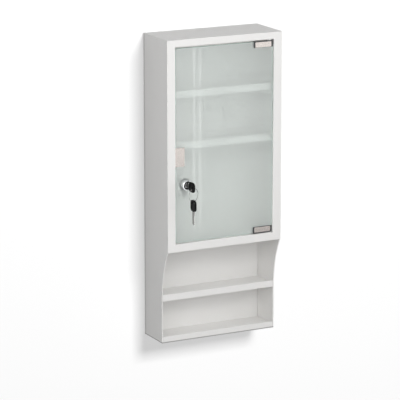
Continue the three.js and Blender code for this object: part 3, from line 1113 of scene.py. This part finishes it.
@dataclass
class SteelBody:
    """The folded steel body with its frame, trays, shelves and wall rails.

    A weld mark is a flattened ball, and weld_proud is its height as a share of its radius.
    """

    shop: Workshop
    finishes: Finishes
    stile: float = 20 * MM
    top_rail: float = 16 * MM
    bottom_rail: float = 18 * MM
    frame_sheet: float = 1.5 * MM
    fold_radius: float = 2.0 * MM
    rim_radius: float = 0.9 * MM
    arc_steps: int = 6
    bush_flange: float = 1.5 * MM
    bush_play: float = 0.3 * MM
    inner_sheet: float = 1.2 * MM
    weld_radius: float = 2.4 * MM
    weld_proud: float = 0.05
    weld_pitch: float = 26 * MM
    weld_height: float = 4 * MM
    weld_margin: float = 16 * MM
    sheet_edges: SheetEdges = SheetEdges()
    nylon_edges: SheetEdges = SheetEdges(0.5 * MM, 0.3 * MM, 0.3 * MM)
    magnet_edges: SheetEdges = SheetEdges(0.4 * MM, 0.3 * MM, 0.3 * MM)

    LEDGES = ("upper_left_ledge", "upper_right_ledge", "lower_left_ledge", "lower_right_ledge")
    SHEETS = (
        "left_side", "right_side", "top_panel", "divider_panel", "open_shelf", "bottom_panel", "back_panel",
        "hanging_rail", "wall_spacer", "upper_shelf", "lower_shelf",
        *LEDGES,
    )
    WELDED = ("divider_panel", "open_shelf", "bottom_panel", *LEDGES)
    BUSHES = ("upper_hinge_bush", "lower_hinge_bush")

    def build(self) -> None:
        """Makes and delivers every piece of the body."""
        self.shop.soften(self.finishes.paint, self.sheet_edges, *self.SHEETS)
        self.shop.deliver(self.front_frame(), self.finishes.paint, "front_frame")
        self.shop.soften(self.finishes.nylon, self.nylon_edges, "catch_housing", *self.BUSHES)
        self.shop.soften(self.finishes.magnet, self.magnet_edges, "catch_magnet")
        self.spot_welds()

    def frame_section(self, rail: float) -> list[Point3]:
        """Section of the pressed frame, from the opening outwards.

        Args:
            rail: Height of the top or bottom rail.

        Returns:
            Distance from the opening's edge for the stiles, the same for the rails, and Y.
        """
        low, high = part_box("front_frame")
        sheet, fold, rim = self.frame_sheet, self.fold_radius, self.rim_radius
        front, back = low.y, high.y
        outside = arc((fold, front + fold), fold, math.pi, 3 * QUARTER, self.arc_steps)
        inside = arc((fold, front + fold), fold - sheet, 3 * QUARTER, math.pi, self.arc_steps)
        far_edge = arc((-rim, front + rim), rim, 3 * QUARTER, 2 * math.pi, self.arc_steps)
        end = sheet / 2
        back_edge = arc((end, back - end), end, 0.0, math.pi, self.arc_steps)
        section = [(reach, reach, y) for reach, y in outside]
        section += [(self.stile + reach, rail + reach, y) for reach, y in far_edge]
        section += [(self.stile, rail, front + sheet)]
        section += [(reach, reach, y) for reach, y in inside + back_edge]
        return section

    def front_frame(self) -> bpy.types.Object:
        """The frame round the door: its section swept about the opening, with mitred corners.

        Returns:
            The object.
        """
        low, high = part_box("front_frame")
        half = high.x - self.stile
        shape = bmesh.new()
        loops = []
        for right, up in ((-1, -1), (1, -1), (1, 1), (-1, 1)):
            rail = self.top_rail if up > 0 else self.bottom_rail
            edge = high.z - rail if up > 0 else low.z + rail
            places = [
                (right * (half + across), y, edge + up * above)
                for across, above, y in self.frame_section(rail)
            ]
            loops.append([shape.verts.new(place) for place in places])
        for loop, follower in zip(loops, loops[1:] + loops[:1]):
            for index in range(len(loop)):
                after = (index + 1) % len(loop)
                shape.faces.new((loop[index], loop[after], follower[after], follower[index]))
        frame = from_shape("finished_front_frame", shape)
        return smooth(cut(frame, *self.bush_holes()))

    def bush_holes(self) -> list[bpy.types.Object]:
        """Cutting tools for the hinge bushes in the frame's returns."""
        tools = []
        for node in self.BUSHES:
            low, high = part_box(node)
            middle = (low + high) / 2
            radius = (high.x - low.x) / 2 - self.bush_flange + self.bush_play
            tools.append(rod(middle, (0.0, 0.0, 1.0), radius, high.z - low.z))
        return tools

    def spot_welds(self) -> None:
        """Rows of spot welds where trays, divider and ledges are joined to the sides."""
        recipe = weld_recipe()
        for node in self.WELDED:
            low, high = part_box(node)
            for side in self.welded_sides(low, high):
                self.weld_row(recipe, node, side)

    @staticmethod
    def welded_sides(low: Vector, high: Vector) -> list[Side]:
        """The sides of the cabinet that a piece is welded to.

        Args:
            low: Lowest corner of the piece.
            high: Its highest corner.

        Returns:
            One side for a ledge, both for a piece that spans the cabinet.
        """
        if low.x < 0 < high.x:
            return [Side.LEFT, Side.RIGHT]
        return [Side.LEFT if high.x < 0 else Side.RIGHT]

    def weld_row(self, recipe: MeshRecipe, node: str, side: Side) -> None:
        """One row along a flange's inner face.

        Args:
            recipe: The row's recipe.
            node: The welded piece.
            side: The side that it is welded to.
        """
        low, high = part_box(node)
        reach = (high.x if side is Side.RIGHT else -low.x) - self.inner_sheet
        height = low.z + self.weld_height
        first = (side.value * reach, low.y + self.weld_margin, height)
        last = (side.value * reach, high.y - self.weld_margin, height)
        count = max(2, round((last[1] - first[1]) / self.weld_pitch) + 1)
        values = {
            "First": first,
            "Last": last,
            "Count": count,
            "Radius": self.weld_radius,
            "Proud": (self.weld_proud, 1.0, 1.0),
        }
        row = recipe.make(f"welds_{node}_{side.name.lower()}", values, self.finishes.paint)
        self.shop.add(row, self.finishes.paint, self.shop.body_of[node])


@dataclass
class GlassDoor:
    """The satin glass with its pivot clips, liners and strike plate."""

    shop: Workshop
    finishes: Finishes
    corner: float = 2.0 * MM
    arris: float = 0.5 * MM
    arris_segments: int = 2
    hole_radius: float = 9.3 * MM
    hole_steps: int = 72
    metal_edges: SheetEdges = SheetEdges(0.9 * MM, 0.4 * MM, 0.35 * MM)
    liner_edges: SheetEdges = SheetEdges(0.3 * MM, 0.2 * MM, 0.2 * MM)
    screw_edges: SheetEdges = SheetEdges(0.3 * MM, 0.2 * MM, 0.25 * MM)

    METAL = ("upper_hinge_clip", "lower_hinge_clip", "strike_plate")
    LINERS = ("upper_clip_liner", "lower_clip_liner")
    SCREWS = ("upper_clip_screw", "lower_clip_screw")

    def build(self, lock_axis: Point2) -> bpy.types.Object:
        """Makes and delivers the door's pieces.

        Args:
            lock_axis: X and Z of the lock.

        Returns:
            The pane.
        """
        pane = self.glass(lock_axis)
        self.shop.deliver(pane, self.finishes.glass, "door_glass")
        self.shop.soften(self.finishes.nickel, self.metal_edges, *self.METAL)
        self.shop.soften(self.finishes.liner, self.liner_edges, *self.LINERS)
        self.shop.soften(self.finishes.steel, self.screw_edges, *self.SCREWS)
        return pane

    def glass(self, lock_axis: Point2) -> bpy.types.Object:
        """The pane, with ground edges and the lock's hole.

        Args:
            lock_axis: X and Z of the lock.

        Returns:
            The object.
        """
        low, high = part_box("door_glass")
        outline = rounded_rectangle((low.x, low.z), (high.x, high.z), self.corner)
        hole = arc(lock_axis, self.hole_radius, 0.0, 2 * math.pi, self.hole_steps)[:-1]
        pane = plate("finished_door_glass", [outline, hole], (low.y, high.y), upright)
        return rounded(pane, self.arris, self.arris_segments)


@dataclass
class CamLock:
    """The cam lock: barrel with bezel, plug with keyway, nut, washer, cam and screw.

    The thread is a wire wound round the barrel. How far its middle lies under the barrel's radius
    (thread_core) and its own radius (thread_wire) are shares of the thread's depth.
    """

    shop: Workshop
    finishes: Finishes
    axis: Point2
    barrel_radius: float = 9.0 * MM
    bore_radius: float = 6.3 * MM
    seat_radius: float = 7.8 * MM
    seat_depth: float = 2.3 * MM
    bezel_depth: float = 10.0 * MM
    bezel_round: float = 3.2 * MM
    bezel_steps: int = 8
    bezel_rim: float = 3.4 * MM
    bezel_chamfer: float = 0.4 * MM
    lip_drop: float = 0.2 * MM
    neck_length: float = 6.0 * MM
    end_chamfer: float = 0.5 * MM
    thread_depth: float = 0.35 * MM
    thread_pitch: float = 1.5 * MM
    thread_ends: Point2 = (1.0 * MM, 1.2 * MM)
    thread_core: float = 1.3
    thread_wire: float = 1.2
    thread_steps: int = 64
    plug_radius: float = 6.0 * MM
    plug_head_radius: float = 7.5 * MM
    plug_head_depth: float = 2.0 * MM
    plug_face_depth: float = 0.9 * MM
    plug_chamfer: float = 0.3 * MM
    plug_recess: float = 0.3 * MM
    tail_radius: float = 3.7 * MM
    keyway: Point2 = (2.6 * MM, 8.6 * MM)
    keyway_spare: float = 0.6 * MM
    screw_shank: float = 1.5 * MM
    screw_rim: float = 0.7 * MM
    screw_crown: float = 1.3 * MM
    screw_steps: int = 48
    crown_steps: int = 8
    recess_reach: float = 2.2 * MM
    recess_half: float = 0.5 * MM
    recess_depth: float = 1.2 * MM
    metal_edges: SheetEdges = SheetEdges(0.6 * MM, 0.3 * MM, 0.3 * MM)
    washer_edges: SheetEdges = SheetEdges(0.25 * MM, 0.2 * MM, 0.2 * MM)

    def build(self) -> None:
        """Makes and delivers the lock's pieces."""
        self.shop.deliver(self.barrel(), self.finishes.chrome, "lock_barrel")
        self.thread()
        self.shop.deliver(self.plug(), self.finishes.chrome, "lock_plug")
        self.shop.deliver(self.cam_screw(), self.finishes.steel, "cam_screw")
        self.shop.soften(self.finishes.steel, self.metal_edges, "lock_nut", "lock_cam")
        self.shop.soften(self.finishes.liner, self.washer_edges, "lock_washer")

    def barrel(self) -> bpy.types.Object:
        """The barrel with its rounded bezel and the seat for the plug.

        Returns:
            The object.
        """
        low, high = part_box("lock_barrel")
        front, back = low.y, high.y
        bezel = (high.x - low.x) / 2
        core = self.barrel_radius - self.thread_depth
        soft, chamfer, end = self.bezel_round, self.bezel_chamfer, self.end_chamfer
        lip = bezel - self.bezel_rim
        profile = [(self.bore_radius, front + self.seat_depth), (self.seat_radius, front + self.seat_depth)]
        profile += [(self.seat_radius, front + self.plug_face_depth), (lip, front + self.lip_drop)]
        profile += arc((bezel - soft, front + soft), soft, -QUARTER, 0.0, self.bezel_steps)
        seat = front + self.bezel_depth
        profile += [(bezel, seat - chamfer), (bezel - chamfer, seat), (self.barrel_radius, seat)]
        neck = seat + self.neck_length
        profile += [(self.barrel_radius, neck), (core, neck + self.thread_depth)]
        profile += [(core, back - end), (core - end, back), (self.bore_radius, back)]
        return smooth(turned("finished_lock_barrel", profile, self.axis))

    def thread(self) -> None:
        """The barrel's thread behind the glass."""
        low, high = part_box("lock_barrel")
        start = low.y + self.bezel_depth + self.neck_length + self.thread_ends[0]
        length = high.y - start - self.thread_ends[1]
        values = {
            "Start": (self.axis[0], start, self.axis[1]),
            "Lie": (-QUARTER, 0.0, 0.0),
            "Radius": self.barrel_radius - self.thread_core * self.thread_depth,
            "Turns": length / self.thread_pitch,
            "Length": length,
            "Wire": self.thread_wire * self.thread_depth,
            "Steps": self.thread_steps,
        }
        thread = coil_recipe().make("lock_thread", values, self.finishes.chrome)
        self.shop.add(thread, self.finishes.chrome, self.shop.body_of["lock_barrel"])

    def plug(self) -> bpy.types.Object:
        """The plug with its keyway.

        Returns:
            The object.
        """
        low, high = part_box("lock_plug")
        front, back = low.y, high.y
        step = front - self.plug_face_depth + self.plug_head_depth
        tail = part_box("lock_barrel")[1].y - self.plug_recess
        head, chamfer = self.plug_head_radius, self.plug_chamfer
        profile = [(0.0, front), (head - chamfer, front), (head, front + chamfer)]
        profile += [(head, step), (self.plug_radius, step), (self.plug_radius, tail)]
        profile += [(self.tail_radius, tail), (self.tail_radius, back), (0.0, back)]
        plug = turned("finished_lock_plug", profile, self.axis)
        x, z = self.axis
        half_wide, half_high = (size / 2 for size in self.keyway)
        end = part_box("key_blade")[1].y + self.keyway_spare
        slot = slab((x - half_wide, front - OVERCUT, z - half_high), (x + half_wide, end, z + half_high))
        return smooth(cut(plug, slot))

    def cam_screw(self) -> bpy.types.Object:
        """The pan head screw that holds the cam, with a cross recess.

        Returns:
            The object.
        """
        low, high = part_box("cam_screw")
        head, shank, top = (high.x - low.x) / 2, self.screw_shank, high.y
        rim = top - self.screw_crown
        under = rim - self.screw_rim
        angles = [QUARTER * step / self.crown_steps for step in range(self.crown_steps)]
        crown = [(head * math.cos(a), rim + self.screw_crown * math.sin(a)) for a in angles]
        profile = [(0.0, low.y), (shank, low.y), (shank, under), (head, under), *crown, (0.0, top)]
        screw = turned("finished_cam_screw", profile, self.axis, self.screw_steps)
        x, z = self.axis
        floor, past = top - self.recess_depth, top + OVERCUT
        long, thin = self.recess_reach, self.recess_half
        bars = [
            slab((x - across, floor, z - up), (x + across, past, z + up))
            for across, up in ((long, thin), (thin, long))
        ]
        return smooth(cut(screw, *bars))


@dataclass
class KeySet:
    """The key in the lock, the split ring and the spare key that hangs on it."""

    shop: Workshop
    finishes: Finishes
    head_corner: float = 7.5 * MM
    head_edge: float = 1.3 * MM
    head_segments: int = 4
    hole_radius: float = 2.75 * MM
    hole_steps: int = 32
    hole_inset: float = 5.0 * MM
    panel_depth: float = 0.45 * MM
    panel_shift: float = 3.6 * MM
    panel_half_long: float = 6.4 * MM
    panel_half_wide: float = 7.6 * MM
    panel_corner: float = 3.2 * MM
    panel_edge: float = 0.2 * MM
    panel_segments: int = 2
    blade_edges: SheetEdges = SheetEdges(0.25 * MM, 0.2 * MM, 0.2 * MM, segments=2)
    groove_depth: float = 0.55 * MM
    groove_width: float = 1.6 * MM
    groove_offset: float = 0.4 * MM
    ring_wire: float = 1.6 * MM
    ring_turn: float = math.radians(22)
    ring_coils: int = 2
    ring_steps: int = 72

    def build(self) -> None:
        """Makes and delivers both keys and the ring."""
        black, steel = self.finishes.black, self.finishes.steel
        self.shop.deliver(self.head("key_head", Vector((0.0, -1.0, 0.0))), black, "key_head")
        self.shop.deliver(self.head("spare_key_head", Vector((0.0, 0.0, 1.0))), black, "spare_key_head")
        self.shop.deliver(self.blade("key_blade", 1), steel, "key_blade")
        self.shop.deliver(self.blade("spare_key_blade", 2), steel, "spare_key_blade")
        self.shop.deliver(self.ring(), steel, "key_ring")

    def head(self, node: str, outward: Vector) -> bpy.types.Object:
        """A moulded head with a sunk panel on both faces and the ring's hole.

        Args:
            node: The head's solid.
            outward: From the blade towards the hole.

        Returns:
            The object.
        """
        low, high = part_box(node)
        middle = (low + high) / 2
        reach = (high - low) / 2
        outline = rounded_rectangle((low.y, low.z), (high.y, high.z), self.head_corner)
        end = middle + outward * (abs(reach.dot(outward)) - self.hole_inset)
        hole = arc((end.y, end.z), self.hole_radius, 0.0, 2 * math.pi, self.hole_steps)[:-1]
        head = plate(f"finished_{node}", [outline, hole], (low.x, high.x), sideways)
        head = rounded(head, self.head_edge, self.head_segments)
        centre = middle - outward * self.panel_shift
        along = Vector((0.0, abs(outward.y), abs(outward.z)))
        across = Vector((0.0, along.z, along.y))
        span = along * self.panel_half_long + across * self.panel_half_wide
        near, far = centre - span, centre + span
        panel = rounded_rectangle((near.y, near.z), (far.y, far.z), self.panel_corner)
        sunk = self.faces(low.x, high.x, self.panel_depth)
        tools = [plate("panel", [panel], depths, sideways) for depths in sunk]
        return rounded(cut(head, *tools), self.panel_edge, self.panel_segments)

    @staticmethod
    def faces(low: float, high: float, depth: float) -> list[Point2]:
        """Where cuts of a depth into both faces of a flat piece start and end."""
        return [(low - OVERCUT, low + depth), (high - depth, high + OVERCUT)]

    def blade(self, node: str, along: int) -> bpy.types.Object:
        """A flat blade with a milled groove on both faces.

        Args:
            node: The blade's solid.
            along: Index of the axis that the blade lies along, 1 for Y or 2 for Z.

        Returns:
            The object.
        """
        blade = self.blade_edges.soften(self.shop.nodes[node], f"finished_{node}")
        low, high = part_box(node)
        across = 3 - along
        middle = (low + high) / 2
        tools = []
        for start, end in self.faces(low.x, high.x, self.groove_depth):
            near = Vector((start, 0.0, 0.0))
            far = Vector((end, 0.0, 0.0))
            near[along], far[along] = low[along] - OVERCUT, high[along] + OVERCUT
            near[across] = middle[across] + self.groove_offset
            far[across] = near[across] + self.groove_width
            tools.append(slab(near, far))
        return smooth(cut(blade, *tools))

    def ring(self) -> bpy.types.Object:
        """The split ring: two turns of wire side by side.

        Returns:
            The object.
        """
        low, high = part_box("key_ring")
        axis = Vector((-math.sin(self.ring_turn), math.cos(self.ring_turn), 0.0))
        coils = self.ring_coils
        wire = self.ring_wire / (2 * coils)
        values = {
            "Start": (low + high) / 2 - axis * wire,
            "Lie": (-QUARTER, 0.0, self.ring_turn),
            "Radius": (high.z - low.z - self.ring_wire) / 2,
            "Turns": float(coils),
            "Length": coils * wire,
            "Wire": wire,
            "Steps": self.ring_steps,
        }
        return coil_recipe().make("finished_key_ring", values, self.finishes.steel)


# Studio


@dataclass(frozen=True)
class Lamp:
    """A soft rectangular lamp that faces the cabinet.

    Its level is the share of full light that it gives to a surface that faces it, and through is the
    part of that light that the door's glass lets straight in.
    """

    name: str
    azimuth: float
    elevation: float
    level: float
    size: Point2
    distance: float
    on_backdrop: bool = False
    mirrored: bool = True
    through: float = 0.0

    @property
    def towards(self) -> Vector:
        """Direction from the cabinet to the lamp."""
        azimuth, elevation = math.radians(self.azimuth), math.radians(self.elevation)
        level = math.cos(elevation)
        return Vector((math.sin(azimuth) * level, -math.cos(azimuth) * level, math.sin(elevation)))

    def hang(self, target: Vector, backdrops: Sequence[bpy.types.Object], pane: bpy.types.Object) -> None:
        """Puts the lamp into the scene.

        Args:
            target: The point that it faces.
            backdrops: The stage, which it lights alone or leaves out.
            pane: The door's glass, which it may shine through.
        """
        self.light(self.name, 1.0 - self.through, target, backdrops)
        if self.through > 0.0:
            inner = self.light(f"{self.name}_inside", self.through, target, backdrops)
            inner.light_linking.blocker_collection = self.linking("blocks", [pane], include=False)

    def light(
        self, name: str, share: float, target: Vector, backdrops: Sequence[bpy.types.Object]
    ) -> bpy.types.Object:
        """Makes one area light.

        Args:
            name: The light's name.
            share: Its part of the lamp's level.
            target: The point that it faces.
            backdrops: The stage.

        Returns:
            The light's object.
        """
        light = bpy.data.lights.new(name, "AREA")
        light.shape = "RECTANGLE"
        light.size, light.size_y = self.size
        light.energy = share * self.level * (math.pi * self.distance) ** 2
        lamp = bpy.data.objects.new(name, light)
        lamp.location = target + self.towards * self.distance
        lamp.rotation_euler = self.towards.to_track_quat("Z", "Y").to_euler()
        lamp.visible_camera = False
        lamp.visible_glossy = self.mirrored
        bpy.context.scene.collection.objects.link(lamp)
        lamp.light_linking.receiver_collection = self.linking("lights", backdrops, self.on_backdrop)
        return lamp

    def linking(
        self, role: str, members: Sequence[bpy.types.Object], include: bool
    ) -> bpy.types.Collection:
        """A collection that says what the lamp lights or what blocks it.

        Args:
            role: What the collection is for.
            members: The objects that are named.
            include: True for these objects alone, False for all others.

        Returns:
            The collection.
        """
        made = bpy.data.collections.new(f"{self.name}_{role}")
        for member in members:
            made.objects.link(member)
        for entry in made.collection_objects:
            entry.light_linking.link_state = "INCLUDE" if include else "EXCLUDE"
        return made


@dataclass
class Studio:
    """A white wall and floor, soft lamps, what is mirrored in glass and metal, and the photo's camera."""

    pane: bpy.types.Object
    wall_gap: float = 1 * MM
    floor_height: float = -1.35
    reach: float = 6.0
    backdrop_albedo: float = 0.35
    wall_glow: float = 0.51
    floor_glow: float = 0.90
    ambient: float = 0.24
    mirrored_white: float = 0.8
    lamps: tuple[Lamp, ...] = (
        Lamp("front", -8.0, 8.0, 0.237, (2.2, 2.2), distance=2.4, through=0.52),
        Lamp("high", 0.0, 40.0, 0.315, (2.4, 1.5), distance=2.2, through=0.42),
        Lamp("left", -48.0, 22.0, 0.21, (1.0, 1.0), distance=1.5, through=0.30),
        Lamp("low_left", -40.0, 0.0, 0.09, (1.6, 1.6), distance=2.4),
        Lamp("right", 55.0, 12.0, 0.17, (1.1, 1.1), distance=1.8),
        Lamp("back", 180.0, 0.0, 0.42, (0.4, 1.0), distance=1.8, mirrored=False),
        Lamp("wall_wash", 8.5, 28.0, 1.50, (1.5, 1.4), distance=5.0, on_backdrop=True),
    )
    mirror_depth: float = -1.6
    strip_places: tuple[float, ...] = (0.6826, 0.7016)
    strip_width: float = 7.5 * MM
    strip_heights: Point2 = (-0.786, -0.229)
    strip_level: float = 3.6
    room_gap: float = 0.05
    room_ends: Point2 = (-0.3, 2.2)
    room_heights: Point2 = (-1.35, -0.51)
    room_dark_to: float = -1.07
    room_dark: float = 0.10
    ceiling_reach: float = 1.5
    ceiling_depths: Point2 = (-4.6, -0.35)
    ceiling_height: float = 1.6
    lens: float = 221.56
    camera_place: Point3 = (-2.4380, -4.7612, 0.9472)
    camera_yaw: float = 27.1055
    camera_pitch: float = 13.4144

    def build(self) -> None:
        """Makes the stage, the lights, the world and the camera."""
        bpy.context.scene.view_settings.view_transform = "Standard"
        wall = Matrix.Translation((0.0, self.wall_gap, 0.0)) @ Matrix.Rotation(QUARTER, 4, "X")
        floor = Matrix.Translation((0.0, 0.0, self.floor_height))
        backdrops = [
            self.backdrop("wall", wall, self.wall_glow),
            self.backdrop("floor", floor, self.floor_glow),
        ]
        self.world()
        self.mirrored_strips()
        self.mirrored_room()
        low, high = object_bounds()
        for lamp in self.lamps:
            lamp.hang((low + high) / 2, backdrops, self.pane)
        self.camera()

    def backdrop(self, name: str, place: Matrix, glow: float) -> bpy.types.Object:
        """A plane that shows from its front only and keeps the object's shadow.

        Args:
            name: The plane's name.
            place: Where it lies.
            glow: How much of its white is its own.

        Returns:
            The plane.
        """
        shape = bmesh.new()
        bmesh.ops.create_grid(shape, x_segments=1, y_segments=1, size=self.reach, matrix=place)
        sheet = as_object(name, shape)
        sheet.visible_diffuse = False
        sheet.visible_shadow = False
        sheet.data.materials.append(self.backdrop_material(name, glow))
        sheet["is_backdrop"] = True
        return sheet

    def backdrop_material(self, name: str, glow: float) -> bpy.types.Material:
        """White that keeps a soft shadow and can't be seen from behind.

        Args:
            name: The plane's name.
            glow: How much of its white is its own.

        Returns:
            The material.
        """
        material = bpy.data.materials.new(f"{name}_white")
        graph = ShaderGraph(material)
        grey = (self.backdrop_albedo, self.backdrop_albedo, self.backdrop_albedo, 1.0)
        paint = graph.node("ShaderNodeBsdfDiffuse", sockets={"Color": grey})
        light = graph.node("ShaderNodeEmission", sockets={"Strength": glow})
        front = graph.node("ShaderNodeAddShader", sockets={0: paint, 1: light})
        clear = graph.node("ShaderNodeBsdfTransparent")
        behind = graph.node("ShaderNodeNewGeometry", output="Backfacing")
        shown = graph.node("ShaderNodeMixShader", sockets={0: behind, 1: front, 2: clear})
        graph.node("ShaderNodeOutputMaterial", sockets={"Surface": shown})
        return material

    def mirror_only(
        self,
        name: str,
        low: Point3,
        high: Point3,
        level: float = 1.0,
        tone: Callable[[ShaderGraph], Wire] | None = None,
    ) -> None:
        """A sheet across the cabinet's front or top that only reflections show.

        Args:
            name: The sheet's name.
            low: One corner, with its lowest X.
            high: The far corner.
            level: Its brightness.
            tone: Gives the share of it at each place, all of it if left out.
        """
        mesh = bpy.data.meshes.new(name)
        near, far = low[1:], high[1:]
        places = [(low[0], *near), (high[0], *near), (high[0], *far), (low[0], *far)]
        mesh.from_pydata(places, [], [(0, 1, 2, 3)])
        sheet = linked(name, mesh)
        sheet.visible_camera = False
        sheet.visible_diffuse = False
        sheet.visible_shadow = False
        sheet.visible_transmission = False
        material = bpy.data.materials.new(name)
        graph = ShaderGraph(material)
        colour = tone(graph) if tone else WHITE
        light = graph.node("ShaderNodeEmission", sockets={"Color": colour, "Strength": level})
        graph.node("ShaderNodeOutputMaterial", sockets={"Surface": light})
        mesh.materials.append(material)
        sheet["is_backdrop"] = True

    def mirrored_strips(self) -> None:
        """The two bright upright strips that the glass mirrors."""
        half = self.strip_width / 2
        bottom, top = self.strip_heights
        for number, x in enumerate(self.strip_places):
            low = (x - half, self.mirror_depth, bottom)
            high = (x + half, self.mirror_depth, top)
            self.mirror_only(f"strip_{number}", low, high, self.strip_level)

    def mirrored_room(self) -> None:
        """The dark lower room, white at its top edge, and the dark ceiling, for contrast in metal."""
        bottom, top = self.room_heights
        left, right = self.room_ends
        depth = self.mirror_depth - self.room_gap

        def brightness(graph: ShaderGraph) -> Wire:
            """Rises from dark to white with height."""
            share = (graph.axes(graph.place())[2] - self.room_dark_to) * (1.0 / (top - self.room_dark_to))
            return self.room_dark + (1.0 - self.room_dark) * share.larger(0.0)

        self.mirror_only("room", (left, depth, bottom), (right, depth, top), tone=brightness)
        front, back = self.ceiling_depths
        low = (-self.ceiling_reach, front, self.ceiling_height)
        high = (self.ceiling_reach, back, self.ceiling_height)
        self.mirror_only("ceiling", low, high, self.room_dark)

    def world(self) -> None:
        """Even light for the object and white for what the camera, metal and glass see of it."""
        world = bpy.data.worlds.new("studio")
        bpy.context.scene.world = world
        graph = ShaderGraph(world)
        rays = graph.node("ShaderNodeLightPath").socket.node.outputs
        camera, glossy, through = (
            Wire(graph, rays[name]) for name in ("Is Camera Ray", "Is Glossy Ray", "Is Transmission Ray")
        )
        mirrored = self.mirrored_white * glossy.larger(through)
        strength = camera.larger(mirrored).larger(self.ambient)
        light = graph.node("ShaderNodeBackground", sockets={"Color": WHITE, "Strength": strength})
        graph.node("ShaderNodeOutputWorld", sockets={"Surface": light})

    def camera(self) -> None:
        """The camera at the photo's angle."""
        yaw, pitch = math.radians(self.camera_yaw), math.radians(self.camera_pitch)
        level = math.cos(pitch)
        forward = Vector((math.sin(yaw) * level, math.cos(yaw) * level, -math.sin(pitch)))
        eye = bpy.data.cameras.new("photo_camera")
        eye.lens = self.lens
        camera = bpy.data.objects.new("photo_camera", eye)
        camera.location = self.camera_place
        camera.rotation_euler = forward.to_track_quat("-Z", "Y").to_euler()
        bpy.context.scene.collection.objects.link(camera)
        bpy.context.scene.camera = camera


def corners(box: Iterable[Vector]) -> list[list[float]]:
    """A box's corners as plain lists of numbers."""
    return [list(corner) for corner in box]


def main() -> None:
    """Builds the cabinet's looks in order."""
    logging.basicConfig(level=logging.INFO, format="%(message)s")
    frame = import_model()
    shop = Workshop(frame)
    finishes = Finishes()
    turn = shop.joints["key_turn"]["pos_m"]
    lock_axis = (turn[0], turn[2])
    SteelBody(shop, finishes).build()
    pane = GlassDoor(shop, finishes).build(lock_axis)
    CamLock(shop, finishes, lock_axis).build()
    KeySet(shop, finishes).build()
    Studio(pane).build()


if __name__ == "__main__":
    main()
